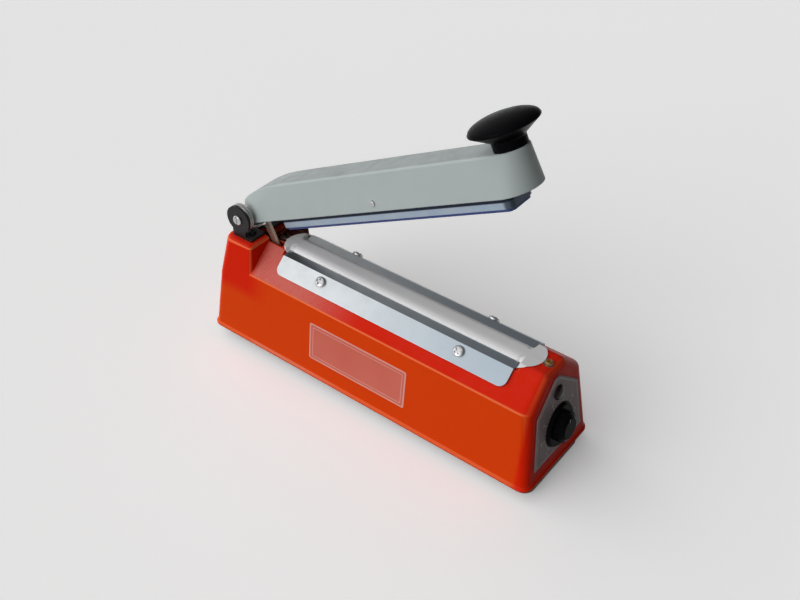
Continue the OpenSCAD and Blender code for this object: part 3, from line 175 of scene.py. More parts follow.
class SealerStudio(bpy.types.PropertyGroup):
    """Floor, light and camera."""

    floor: colour_setting("Floor", "Pale grey of the floor, as seen", (0.93, 0.93, 0.93))
    bounce: colour_setting(
        "Floor, bounce", "Grey of the floor in the light that it throws back", (0.20, 0.20, 0.20))
    glow: plain_setting("Floor, glow", "Paleness of the floor as seen, besides its light", 0.21)
    key: plain_setting("Key light", "Strength of the soft key light", 0.55)
    sky_low: plain_setting("Sky, shaded side", "Sky light from the back", 0.03)
    sky_high: plain_setting("Sky, lit side", "Sky light from the front", 1.58)
    backdrop: plain_setting("Backdrop", "Paleness of the backdrop, as seen", 0.76)
    mirrored: plain_setting("Backdrop, mirrored", "Share of the backdrop that shows in metal", 0.2)
    lens: plain_setting("Lens", "Focal length in millimetres", 46.08)
    distance: length_setting("Distance", "Camera to the middle of the body", 757.81)
    around: angle_setting("Around", "Camera's angle round the object", 37.64)
    above: angle_setting("Above", "Camera's angle above the floor", 38.76)
    roll: angle_setting("Roll", "Camera's roll", 0.19)


# Nodes


def put(tree, kind, inputs=None, **settings):
    """Adds a shader node, with its settings, and its inputs as values or links."""
    node = tree.nodes.new(kind)
    for name, value in settings.items():
        setattr(node, name, value)
    for name, value in (inputs or {}).items():
        socket = node.inputs[name]
        if isinstance(value, bpy.types.NodeSocket):
            tree.links.new(value, socket)
        elif socket.type == "RGBA" and len(value) == 3:
            socket.default_value = (*value, 1)
        else:
            socket.default_value = value
    return node


def calc(tree, operation, first, second=0.0, third=0.0):
    """A Math node's result."""
    return put(tree, "ShaderNodeMath", {0: first, 1: second, 2: third}, operation=operation).outputs[0]


def chain(tree, operation, first, *others):
    """Values joined in turn by one operation."""
    for other in others:
        first = calc(tree, operation, first, other)
    return first


def times(tree, *values):
    """Values multiplied."""
    return chain(tree, "MULTIPLY", *values)


def most(tree, *values):
    """The largest of some values."""
    return chain(tree, "MAXIMUM", *values)


def axes_of(tree, vector):
    """A vector's X, Y and Z."""
    return put(tree, "ShaderNodeSeparateXYZ", {"Vector": vector}).outputs


def vectors(tree, operation, first, second, result="Vector"):
    """A Vector Math node's result."""
    return put(tree, "ShaderNodeVectorMath", {0: first, 1: second}, operation=operation).outputs[result]


def dot(tree, first, second):
    """How far one vector reaches along another."""
    return vectors(tree, "DOT_PRODUCT", first, second, "Value")


def added(tree, value, share, base):
    """A share of a value, on top of another."""
    return calc(tree, "MULTIPLY_ADD", value, share, base)


def spread(tree, value, low, high, to_low=0.0, to_high=1.0):
    """A value moved smoothly from one range to another, and held there."""
    ends = {"Value": value, "From Min": low, "From Max": high, "To Min": to_low, "To Max": to_high}
    return put(tree, "ShaderNodeMapRange", ends, interpolation_type="SMOOTHSTEP").outputs["Result"]


def lengthways(tree, axes, start, end, to_start=0.0, to_end=1.0):
    """A mask that changes between two places along the body, in millimetres."""
    return spread(tree, axes["X"], place(start, 0, 0).x, place(end, 0, 0).x, to_start, to_end)


def upward(tree, axes, start, end, to_start=0.0, to_end=1.0):
    """A mask that changes between two heights above the lip, in millimetres."""
    return spread(tree, axes["Z"], place(0, 0, start).z, place(0, 0, end).z, to_start, to_end)


def tinted(tree, mask, colour, other, share=1.0):
    """A colour that turns into another one, or a share of the way, where the mask is 1."""
    if share != 1.0:
        mask = times(tree, mask, share)
    inputs = {0: mask, 6: colour, 7: other}
    return put(tree, "ShaderNodeMix", inputs, data_type="RGBA").outputs[2]


def grains(tree, where, scale, detail=2.0, rough=0.5):
    """Noise between 0 and 1."""
    inputs = {"Vector": where, "Scale": scale, "Detail": detail, "Roughness": rough}
    return put(tree, "ShaderNodeTexNoise", inputs).outputs["Fac"]


def effect(name, **takes):
    """A new node group and its inputs, each a number or a vector, with None for no starting value."""
    tree = bpy.data.node_groups.new(name, "ShaderNodeTree")
    for label, value in takes.items():
        kind = "NodeSocketFloat" if isinstance(value, float) else "NodeSocketVector"
        socket = tree.interface.new_socket(name=label, in_out="INPUT", socket_type=kind)
        if value is not None:
            socket.default_value = value
    return tree, put(tree, "NodeGroupInput").outputs


def given(tree, **results):
    """The node group, ended with its outputs: a normal, or numbers."""
    for label in results:
        kind = "NodeSocketVector" if label == "Normal" else "NodeSocketFloat"
        tree.interface.new_socket(name=label, in_out="OUTPUT", socket_type=kind)
    put(tree, "NodeGroupOutput", results)
    return tree


def soft_edge():
    """Normal rounded over edges, and a mask of where the edges are."""
    tree, takes = effect("soft_edge", Radius=MM)
    rounded = put(tree, "ShaderNodeBevel", {"Radius": takes["Radius"]}, samples=8).outputs["Normal"]
    flat = put(tree, "ShaderNodeNewGeometry").outputs["Normal"]
    return given(tree, Normal=rounded, Edge=spread(tree, dot(tree, rounded, flat), 0.995, 0.90))


def orange_peel():
    """Fine waves of sprayed enamel, and the slow change of its tone."""
    tree, takes = effect("orange_peel", Vector=None, Scale=700.0)
    wave = grains(tree, takes["Vector"], takes["Scale"], 1.5, 0.45)
    slow = times(tree, takes["Scale"], 0.012)
    tone = grains(tree, takes["Vector"], slow, 3.0, 0.6)
    return given(tree, Height=wave, Tone=spread(tree, tone, 0.3, 0.7))


def drawn_lines():
    """Lines left by rolling or drawing metal, and the slow cloudiness of its plating."""
    tree, takes = effect("drawn_lines", Vector=None, Stretch=(20, 900, 900), Cloud=60.0)
    stretched = vectors(tree, "MULTIPLY", takes["Vector"], takes["Stretch"])
    line = grains(tree, stretched, 1.0, 3.0, 0.6)
    cloud = grains(tree, takes["Vector"], takes["Cloud"], 4.0, 0.62)
    return given(tree, Line=line, Cloud=spread(tree, cloud, 0.32, 0.68))


def scuff():
    """Thin scratches in two directions and small rubbed spots."""
    tree, takes = effect("scuff", Vector=None, Scale=160.0)
    marks = []
    for turn in (0.5, -0.9):
        laid = put(tree, "ShaderNodeMapping", {"Vector": takes["Vector"], "Rotation": (turn, turn, turn),
                                               "Scale": (0.07, 1.0, 1.0)}).outputs["Vector"]
        line = grains(tree, laid, times(tree, takes["Scale"], 4.0), 1.0, 0.4)
        marks.append(spread(tree, line, 0.70, 0.76))
    spot = grains(tree, takes["Vector"], takes["Scale"], 5.0, 0.7)
    return given(tree, Scratch=most(tree, *marks), Spot=spread(tree, spot, 0.58, 0.72))


def settled_dust():
    """Thin dust on faces that look up, thicker in patches."""
    tree, takes = effect("settled_dust", Vector=None, Scale=90.0)
    normal = put(tree, "ShaderNodeNewGeometry").outputs["Normal"]
    up = axes_of(tree, normal)["Z"]
    patch = grains(tree, takes["Vector"], takes["Scale"], 6.0, 0.68)
    return given(tree, Dust=times(tree, spread(tree, up, 0.55, 0.98), spread(tree, patch, 0.35, 0.75)))


class Finish:
    """A material with one shader, and the place on the piece that its patterns follow."""

    def __init__(self, name, **fixed):
        self.material = bpy.data.materials.new(name)
        self.material.use_nodes = True
        self.tree = self.material.node_tree
        self.tree.nodes.clear()
        inputs = {label.replace("_", " "): value for label, value in fixed.items()}
        self.shader = put(self.tree, "ShaderNodeBsdfPrincipled", inputs)
        put(self.tree, "ShaderNodeOutputMaterial", {"Surface": self.shader.outputs[0]})
        self.where = put(self.tree, "ShaderNodeTexCoord").outputs["Object"]

    def add(self, maker, **inputs):
        """Places an effect's node group, made the first time that it is asked for."""
        group = bpy.data.node_groups.get(maker.__name__) or maker()
        if "Vector" in group.interface.items_tree:
            inputs["Vector"] = self.where
        return put(self.tree, "ShaderNodeGroup", inputs, node_tree=group).outputs

    def set(self, label, value):
        """Links a varying value to the shader."""
        self.tree.links.new(value, self.shader.inputs[label])

    def paint(self, colour, *layers):
        """Colours the surface, with layers over the first: a mask, a colour and perhaps a share."""
        for mask, *layer in layers:
            colour = tinted(self.tree, mask, colour, *layer)
        self.set("Base Color", colour)

    def dull(self, rough, *marks):
        """Roughens the surface, with a share of each mark added."""
        for mark, share in marks:
            rough = added(self.tree, mark, share, rough)
        self.set("Roughness", rough)

    def bump(self, height, depth, normal=None, strength=1.0):
        """Raises the surface by a height, as deep as depth in metres."""
        inputs = {"Height": height, "Distance": depth, "Strength": strength}
        if normal is not None:
            inputs["Normal"] = normal
        self.set("Normal", put(self.tree, "ShaderNodeBump", inputs).outputs["Normal"])


DUST_GREY = (0.52, 0.50, 0.47)
# Pale tone for the painted sheen on the body's slope
PAINTED_SHEEN_GREY = (0.56, 0.36, 0.31)
# Near black for the painted shade under the arm
PAINTED_SHADE_BLACK = (0.012, 0.006, 0.005)


def dimmed(colour, share):
    """A colour made darker or lighter."""
    return tuple(min(1, c * share) for c in colour)


def enamel(name, colour, deep, edge, rough, peel, depth, dust=0.05, radius=0.9 * MM, shine=0.35,
           dust_and_shade_grey=DUST_GREY, laid=None):
    """Sprayed enamel: orange peel, slow tone, paler paint along edges that is also a painted highlight,
    faint scuffs and dust, and painted light from any laid masks.
    """
    f = Finish(name, Specular_IOR_Level=shine)
    skin = f.add(orange_peel, Scale=peel)
    rim = f.add(soft_edge, Radius=radius)
    worn = f.add(scuff, Scale=150.0)
    fallen = f.add(settled_dust, Scale=70.0)
    coats = [(skin["Tone"], deep)]
    if laid is not None:
        # The laid masks paint light: a redder tone, a sheen, edge highlights and shade
        thick, painted_sheen, thin, painted_shade = laid(f.tree, f.where)
        toned = added(f.tree, skin["Tone"], 0.08, thick)
        coats = [(toned, deep), (painted_sheen, PAINTED_SHEEN_GREY), (thin, edge), (painted_shade, PAINTED_SHADE_BLACK)]
    # Edge colour on rounded edges: thinner paint there, and a painted highlight
    f.paint(colour, *coats, (rim["Edge"], edge, 0.55), (worn["Spot"], edge, 0.05),
            (fallen["Dust"], dust_and_shade_grey, dust))
    f.dull(rough, (skin["Tone"], 0.05), (worn["Scratch"], 0.10), (fallen["Dust"], 0.12))
    f.bump(skin["Height"], depth, rim["Normal"])
    return f.material


def plated(name, colour, cloud, rough, stretch, radius=0.4 * MM, clouds=60.0, edge=None, painted_light=None):
    """Plated or bare metal: drawn lines, cloudy plating, bright edges, fine scratches and any painted light
    that is given.
    """
    f = Finish(name, Metallic=1.0)
    drawn = f.add(drawn_lines, Stretch=stretch, Cloud=clouds)
    rim = f.add(soft_edge, Radius=radius)
    worn = f.add(scuff, Scale=240.0)
    # Painted light or shade from the given mask, laid over the plating
    stains = [painted_light(f.tree, f.where)] if painted_light else []
    f.paint(colour, (drawn["Cloud"], cloud), (rim["Edge"], edge or dimmed(colour, 1.25), 0.6),
            (worn["Spot"], dimmed(cloud, 0.6), 0.12), *stains)
    f.dull(rough - 0.08, (drawn["Line"], 0.16), (drawn["Cloud"], 0.06), (worn["Scratch"], 0.12))
    f.bump(drawn["Line"], 0.004 * MM, rim["Normal"])
    return f.material


def moulded(name, colour, pale, rough, grain, depth, dust=0.04, shine=0.5):
    """Moulded plastic or rubber: fine grain, paler rubbed edges, scuffs and dust."""
    f = Finish(name, Specular_IOR_Level=shine)
    skin = f.add(orange_peel, Scale=grain)
    rim = f.add(soft_edge, Radius=0.5 * MM)
    worn = f.add(scuff, Scale=200.0)
    fallen = f.add(settled_dust, Scale=110.0)
    f.paint(colour, (skin["Tone"], pale, 0.35), (rim["Edge"], pale, 0.40),
            (worn["Scratch"], pale, 0.12), (fallen["Dust"], DUST_GREY, dust))
    f.dull(rough, (worn["Scratch"], 0.10), (fallen["Dust"], 0.15))
    f.bump(skin["Height"], depth, rim["Normal"])
    return f.material


def banded(name, colour, gap, pitch, axis, rough, metallic, depth):
    """Stacked sheets or wound wire: even bands across one axis, with small changes of tone."""
    f = Finish(name, Metallic=metallic)
    cloud = f.add(drawn_lines, Stretch=(40, 40, 40), Cloud=120.0)
    inputs = {"Vector": f.where, "Scale": 0.5 / pitch, "Distortion": 0.0}
    bands = put(f.tree, "ShaderNodeTexWave", inputs, bands_direction=axis).outputs["Fac"]
    f.paint(gap, (bands, colour), (cloud["Cloud"], gap, 0.3))
    f.dull(rough, (cloud["Line"], 0.2))
    f.bump(bands, depth)
    return f.material


def coated_cloth(name, colour):
    """Glass cloth with a smooth coating: a fine weave, faint stains from heat, a soft sheen and painted
    light towards the hinge end.
    """
    f = Finish(name, Sheen_Weight=0.15, Sheen_Roughness=0.4, Specular_IOR_Level=0.35)
    t = f.tree
    inputs = {"Vector": f.where, "Scale": 520.0, "Distortion": 0.6, "Detail": 1.0, "Detail Scale": 0.6}
    threads = [put(t, "ShaderNodeTexWave", inputs, bands_direction=axis).outputs["Fac"] for axis in "XY"]
    weave = times(t, *threads)
    cloud = f.add(drawn_lines, Stretch=(60, 300, 300), Cloud=45.0)
    worn = f.add(scuff, Scale=120.0)
    axes = axes_of(t, f.where)
    line = spread(t, calc(t, "ABSOLUTE", axes["Y"]), 2.6 * MM, 1.0 * MM)
    # Painted light: paler cloth towards the hinge end, lifting the shade there
    painted_light_at_hinge = lengthways(t, axes, -40, -80, 0.0, 0.9)
    f.paint(colour, (cloud["Cloud"], dimmed(colour, 0.93), 0.35), (painted_light_at_hinge, (0.93, 0.93, 0.93)),
            (line, (0.60, 0.54, 0.46), 0.10), (weave, dimmed(colour, 0.88), 0.12),
            (worn["Spot"], (0.45, 0.40, 0.34), 0.05))
    f.dull(0.34, (cloud["Line"], 0.15))
    f.bump(weave, 0.02 * MM, strength=0.7)
    return f.material


def film(name, colour, pale, rough):
    """Printed film: an even ink with a faint mottle and a fine surface."""
    f = Finish(name, Specular_IOR_Level=0.3)
    skin = f.add(orange_peel, Scale=900.0)
    worn = f.add(scuff, Scale=180.0)
    f.paint(colour, (skin["Tone"], pale, 0.5), (worn["Spot"], pale, 0.15))
    f.dull(rough, (worn["Scratch"], 0.15))
    f.bump(skin["Height"], 0.01 * MM)
    return f.material


def panel_plate(name, colour, line):
    """Satin plate of the control end: fine grain, a border printed inside its outline, and a painted
    highlight along its rounded edges.
    """
    f = Finish(name, Specular_IOR_Level=0.12)
    t = f.tree
    low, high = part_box("control_panel")
    skin = f.add(drawn_lines, Stretch=(800, 60, 800), Cloud=80.0)
    rim = f.add(soft_edge, Radius=0.4 * MM)
    worn = f.add(scuff, Scale=200.0)
    axes = axes_of(t, f.where)
    aside = calc(t, "ABSOLUTE", axes["Y"])
    point = put(t, "ShaderNodeCombineXYZ", {0: aside, 1: axes["Z"], 2: 1.0}).outputs[0]
    shoulder = place(0, 0, FOLD_H - 7.4).z
    foot_y = high.y
    shoulder_y = foot_y - (shoulder - low.z) * math.tan(DRAFT)
    corners = [(0, low.z), (foot_y, low.z), (shoulder_y, shoulder), (2.5 * MM, high.z), (0, high.z)]
    inside = []
    for (y0, z0), (y1, z1) in zip(corners, corners[1:]):
        reach = math.hypot(y1 - y0, z1 - z0)
        inward = Vector((-(z1 - z0) / reach, (y1 - y0) / reach, 0))
        inward.z = -inward.x * y0 - inward.y * z0
        inside.append(dot(t, point, inward))
    border_in, border_half = 1.7 * MM, 0.35 * MM
    border = calc(t, "COMPARE", chain(t, "MINIMUM", *inside), border_in, border_half)
    # The pale line on the rounded edges is a painted highlight; the border inside the outline is print
    f.paint(colour, (skin["Cloud"], dimmed(colour, 0.85), 0.5), (border, line, 0.85),
            (rim["Edge"], line, 0.6), (worn["Spot"], dimmed(colour, 0.6), 0.15))
    f.dull(0.32, (skin["Line"], 0.2))
    f.bump(skin["Line"], 0.006 * MM, rim["Normal"])
    return f.material


def dress(material, *names):
    """Gives CAD nodes a finish."""
    for name in names:
        node = NODES[name]
        if not node.material_slots:
            node.data.materials.append(material)
        for material_slot in node.material_slots:
            material_slot.material = material


# Meshes


def piece(name, points, faces, materials, smooth=True, which=None):
    """A new mesh object, its points in metres in the frame."""
    mesh = bpy.data.meshes.new(name)
    mesh.from_pydata([tuple(p) for p in points], [], faces)
    mesh.validate()
    for material in materials:
        mesh.materials.append(material)
    for face in mesh.polygons:
        face.use_smooth = smooth
    if which is not None:
        mesh.polygons.foreach_set("material_index", which)
    made = bpy.data.objects.new(name, mesh)
    bpy.context.collection.objects.link(made)
    return made


def stacked_faces(rings, count):
    """Faces between outlines of the same number of points, each joined to the next."""
    faces = []
    for ring in range(rings - 1):
        for k in range(count):
            a, b = ring * count + k, ring * count + (k + 1) % count
            faces.append((a, b, b + count, a + count))
    return faces


def tube(path, radius, sides):
    """Points and faces of a round wire along a path, with rounded ends, and no twist."""
    end = len(path) - 1
    tangents = [(path[min(i + 1, end)] - path[max(i - 1, 0)]).normalized() for i in range(end + 1)]
    across = Vector((0.3, 0.2, 1.0))
    points = []
    tip, narrow = radius * 0.5, 0.6
    rings = [(path[0] - tangents[0] * tip, 0, narrow)]
    rings += [(p, i, 1.0) for i, p in enumerate(path)]
    rings += [(path[-1] + tangents[-1] * tip, end, narrow)]
    for centre, i, share in rings:
        across = (across - across.dot(tangents[i]) * tangents[i]).normalized()
        other = tangents[i].cross(across)
        for k in range(sides):
            a = math.tau * k / sides
            points.append(centre + radius * share * (math.cos(a) * across + math.sin(a) * other))
    faces = stacked_faces(len(rings), sides)
    last = (len(rings) - 1) * sides
    faces.append(tuple(range(sides - 1, -1, -1)))
    faces.append(tuple(range(last, last + sides)))
    return points, faces


def rounded_box(width, height, radius, steps=8):
    """Outline of a rectangle with rounded corners, round its middle."""
    outline = []
    for turn, (sx, sy) in enumerate(((1, 1), (-1, 1), (-1, -1), (1, -1))):
        for k in range(steps + 1):
            a = math.radians(90 * turn + 90 * k / steps)
            outline.append((sx * (width / 2 - radius) + radius * math.cos(a),
                            sy * (height / 2 - radius) + radius * math.sin(a)))
    return outline


# Pieces


class SEALER_OT_body_enamel(bpy.types.Operator):
    """Gives the cast body its gloss enamel"""

    bl_idname = "sealer.body_enamel"
    bl_label = "Body enamel"

    def execute(self, context):
        s = context.scene.sealer_finishes
        skin = enamel("body_enamel", tuple(s.enamel), tuple(s.enamel_deep), tuple(s.enamel_edge),
                      rough=0.32, peel=850.0, depth=0.08 * MM, dust=0.03, radius=1.3 * MM, shine=0.035,
                      laid=self.coats)
        dress(skin, "body_housing")
        return {"FINISHED"}

    @staticmethod
    def coats(t, where):
        """Masks of painted light: a redder tone above the fold, high on the hump and on the control end, a
        sheen, edge highlights and shade under the arm.
        """
        axes = axes_of(t, where)
        above = upward(t, axes, FOLD_H - 1, FOLD_H + 1.5)
        humped = times(t, upward(t, axes, 36, 50), lengthways(t, axes, -88, -116))
        ended = lengthways(t, axes, 138, 143)
        # Painted light: redder enamel above the fold and high on the hump, leaving the lower front wall
        # oranger as if lit by the floor's reflection, and painted shade on the control end
        thick = most(t, humped, ended, above)
        near = times(t, lengthways(t, axes, 0, -70), lengthways(t, axes, -112, -104))
        normal = put(t, "ShaderNodeNewGeometry").outputs["Normal"]
        facing = axes_of(t, normal)
        sloped = times(t, spread(t, facing["Z"], 0.5, 0.7), spread(t, facing["Y"], -0.4, -0.55))
        grain = spread(t, grains(t, where, 1300.0, 2.0, 0.6), 0.30, 0.70)
        # Painted sheen: pale specks on the slope near the hump, fading towards the middle
        painted_sheen = times(t, near, sloped, added(t, grain, 0.26, 0.22))
        level = times(t, spread(t, facing["Z"], 0.20, 0.36), spread(t, facing["Z"], 0.72, 0.58))
        aside = calc(t, "ABSOLUTE", facing["X"])
        upright = times(t, spread(t, aside, 0.30, 0.50), spread(t, aside, 0.86, 0.70))
        # Painted highlights along the folds, rounded top edges and upright corners, none on the control end
        thin = most(t, times(t, level, 0.75), times(t, upright, 0.35))
        thin = times(t, thin, lengthways(t, axes, 143, 135))
        # Painted shade under the arm, beside the tongue
        painted_shade = times(t, lengthways(t, axes, -78, -88), lengthways(t, axes, -112, -108),
                     spread(t, axes["Y"], -8.5 * MM, -5.5 * MM), upward(t, axes, 58, 66, 0.0, 0.93))
        return thick, painted_sheen, thin, painted_shade


class SEALER_OT_arm_enamel(bpy.types.Operator):
    """Gives the lever arm its satin enamel"""

    bl_idname = "sealer.arm_enamel"
    bl_label = "Arm enamel"

    def execute(self, context):
        colour = tuple(context.scene.sealer_finishes.arm)
        # The heavy dark dust on the arm's upward faces is partly dust and partly painted shade on the arm's
        # top
        skin = enamel("arm_enamel", colour, dimmed(colour, 0.94), dimmed(colour, 1.45),
                      rough=0.40, peel=1000.0, depth=0.025 * MM, dust=0.55, radius=0.9 * MM, shine=0.3,
                      dust_and_shade_grey=(0.29, 0.29, 0.30))
        dress(skin, "lever_arm")
        return {"FINISHED"}


class SEALER_OT_bright_metal(bpy.types.Operator):
    """Gives the clamp plates, press bar, pins, screws and strips their metals"""

    bl_idname = "sealer.bright_metal"
    bl_label = "Bright metal"

    def execute(self, context):
        s = context.scene.sealer_finishes
        zinc = tuple(s.zinc)
        press = tuple(s.press)
        plain = 0.30
        rolled = (14, 900, 900)
        dress(plated("zinc_plates", zinc, dimmed(zinc, 0.90), plain, rolled, painted_light=self.dulled),
              "front_clamp_plate", "rear_clamp_plate")
        bluer = tuple(c * v for c, v in zip(press, (0.86, 0.92, 1.0)))
        dress(plated("press_zinc", press, bluer, plain, rolled, radius=0.7 * MM, edge=(0.14, 0.22, 0.50),
                     painted_light=self.shaded), "press_bar")
        steel = (0.60, 0.60, 0.61)
        turned = (500, 500, 60)
        fine = 0.25 * MM
        dress(plated("bright_steel", steel, dimmed(steel, 0.8), rough=0.26, stretch=turned, clouds=300.0,
                     radius=fine),
              "clamp_screws", "hinge_pin", "pivot_pin", "pin_clip", "hinge_sleeve", "base_screws",
              "handle_screw", "tongue_screws", "switch_screws", "timer_nut", "timer_shaft",
              "transformer_screws", "sealing_bar")
        dress(plated("tan_strip", (0.66, 0.54, 0.43), (0.54, 0.43, 0.34), rough=0.42,
                     stretch=(700, 700, 30), radius=0.3 * MM, clouds=160.0, edge=(0.82, 0.72, 0.62)),
              "switch_tongue")
        dress(plated("terminal_brass", (0.40, 0.25, 0.095), (0.30, 0.18, 0.065), rough=0.28, stretch=turned,
                     clouds=400.0, radius=fine, painted_light=self.heated), "terminal_screws")
        dress(plated("blackened_steel", (0.05, 0.048, 0.05), (0.03, 0.03, 0.03), rough=0.36, stretch=turned,
                     clouds=300.0, radius=fine), "bracket_screws")
        dress(plated("heater_strip", (0.42, 0.40, 0.38), (0.30, 0.25, 0.22), rough=0.36,
                     stretch=(20, 1200, 1200), clouds=200.0), "heating_strip")
        return {"FINISHED"}

    @staticmethod
    def heated(t, where):
        """Painted shade: brass made dark at the hinge end, under the arm."""
        return lengthways(t, axes_of(t, where), -40, -80, 0.0, 0.9), (0.03, 0.02, 0.012)

    @staticmethod
    def dulled(t, where):
        """Painted reflection: plating darker towards the control end, as if it mirrored less light there.
        """
        return lengthways(t, axes_of(t, where), -80, 118), (0.325, 0.375, 0.42)

    @staticmethod
    def shaded(t, where):
        """Painted shade: a dark line where the press bar comes out of the arm, and a painted dark
        reflection on its far end.
        """
        pin_low, pin_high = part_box("hinge_pin")
        hinge = (pin_low + pin_high) / 2
        arm_way = Vector((math.cos(OPEN), 0, math.sin(OPEN)))
        arm_up = Vector((-math.sin(OPEN), 0, math.cos(OPEN)))
        from_hinge = vectors(t, "SUBTRACT", where, hinge)
        u = dot(t, from_hinge, arm_way)
        v = dot(t, from_hinge, arm_up)
        high = spread(t, v, -11.8 * MM, -11.0 * MM)
        ended = spread(t, u, 241.5 * MM, 245 * MM)
        return most(t, high, times(t, ended, 0.85)), (0.022, 0.027, 0.045)


class SEALER_OT_dark_parts(bpy.types.Operator):
    """Gives the handle, bracket, knob, feet and grommet their black finishes"""

    bl_idname = "sealer.dark_parts"
    bl_label = "Dark parts"

    def execute(self, context):
        dress(moulded("handle_black", (0.0022, 0.0022, 0.0028), (0.005, 0.005, 0.006),
                      rough=0.24, grain=900.0, depth=0.006 * MM, dust=0.002, shine=0.02), "handle")
        dress(moulded("knob_black", (0.004, 0.0035, 0.0035), (0.012, 0.011, 0.011),
                      rough=0.24, grain=1400.0, depth=0.010 * MM, dust=0.003, shine=0.014), "timer_knob")
        dress(moulded("foot_rubber", (0.012, 0.012, 0.012), (0.040, 0.039, 0.037),
                      rough=0.62, grain=1800.0, depth=0.03 * MM, dust=0.12, shine=0.3),
              "rubber_feet", "cord_grommet")
        dress(enamel("bracket_black", (0.008, 0.007, 0.008), (0.014, 0.012, 0.013), (0.09, 0.085, 0.08),
                     rough=0.34, peel=1100.0, depth=0.02 * MM, dust=0.03, radius=0.5 * MM, shine=0.22),
              "hinge_bracket")
        dress(enamel("base_black", (0.020, 0.020, 0.021), (0.028, 0.028, 0.029), (0.12, 0.12, 0.12),
                     rough=0.45, peel=900.0, depth=0.02 * MM, shine=0.4), "base_plate")
        return {"FINISHED"}


class SEALER_OT_control_end(bpy.types.Operator):
    """Finishes the control panel, its lens, its dial and the knob's pointer line"""

    bl_idname = "sealer.control_end"
    bl_label = "Control end"

    def execute(self, context):
        panel = tuple(context.scene.sealer_finishes.panel)
        dress(panel_plate("panel_grey", panel, (0.50, 0.42, 0.42)), "control_panel")
        dress(moulded("lens_tint", (0.010, 0.004, 0.004), (0.022, 0.007, 0.006),
                      rough=0.12, grain=600.0, depth=0.02 * MM, dust=0.004, shine=0.10), "indicator_lens")
        joint = next(j for j in frame["joints"] if j["name"] == "timer_turn")
        centre = Vector(joint["pos_m"])
        out = Vector((math.cos(DRAFT), 0, math.sin(DRAFT)))
        up = Vector((-math.sin(DRAFT), 0, math.cos(DRAFT)))
        aside = Vector((0, 1, 0))
        self.dial(centre, out, up, aside)
        self.pointer(centre, out, up, aside)
        return {"FINISHED"}

    def dial(self, centre, out, up, aside):
        """Printed ticks and plain figures round the knob."""
        ink = film("dial_ink", (0.62, 0.58, 0.57), (0.70, 0.66, 0.65), rough=0.5)
        lift = 1.03 * MM
        first, turn = -135, 270
        ring, figure_ring = 17.6, 22.2
        points = []
        faces = []
        marks = 29
        for k in range(marks):
            a = math.radians(first + turn * k / (marks - 1))
            whole = k % 4 == 0
            reach = 19.8 if whole else 18.9
            half = 0.32 if whole else 0.18
            ray = math.sin(a) * aside + math.cos(a) * up
            side = math.cos(a) * aside - math.sin(a) * up
            start = len(points)
            for far, edge in ((ring, -1), (ring, 1), (reach, 1), (reach, -1)):
                points.append(centre + out * lift + (ray * far + side * half * edge) * MM)
            faces.append((start + 3, start + 2, start + 1, start))
        for figure in range(8):
            a = math.radians(first + turn * figure / 7)
            spot = centre + out * lift + (math.sin(a) * aside + math.cos(a) * up) * figure_ring * MM
            letters = bpy.data.curves.new("figure", "FONT")
            letters.body = str(figure + 1)
            letters.size = 3.6 * MM
            letters.align_x = "CENTER"
            letters.align_y = "CENTER"
            holder = bpy.data.objects.new("figure", letters)
            bpy.context.collection.objects.link(holder)
            flat = holder.evaluated_get(bpy.context.evaluated_depsgraph_get()).to_mesh()
            start = len(points)
            points += [spot + v.co.x * aside + v.co.y * up for v in flat.vertices]
            faces += [tuple(start + i for i in face.vertices) for face in flat.polygons]
            bpy.data.objects.remove(holder)
            bpy.data.curves.remove(letters)
        scale = piece("dial_scale", points, faces, [ink], smooth=False)
        thick = scale.modifiers.new("ink", "SOLIDIFY")
        thick.thickness = 0.03 * MM
        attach(scale, "base")

    def pointer(self, centre, out, up, aside):
        """Pale line let into the groove on the knob's face."""
        pale = film("pointer_white", (0.55, 0.54, 0.52), (0.68, 0.67, 0.64), rough=0.45)
        top = 10.02 * MM
        off_middle = 6.3
        outline = rounded_box(width=0.9, height=3.2, radius=0.4, steps=6)
        points = []
        levels = ((0.0, 0.0), (0.22, 0.0), (0.30, 0.12))
        for height, inset in levels:
            for x, y in outline:
                flat = aside * x * (1 - inset) + up * (off_middle + y)
                points.append(centre + out * (top + height * MM) + flat * MM)
        count = len(outline)
        faces = stacked_faces(len(levels), count)
        faces.append(tuple(range(len(points) - count, len(points))))
        line = piece("pointer_line", points, faces, [pale])
        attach(line, "knob")


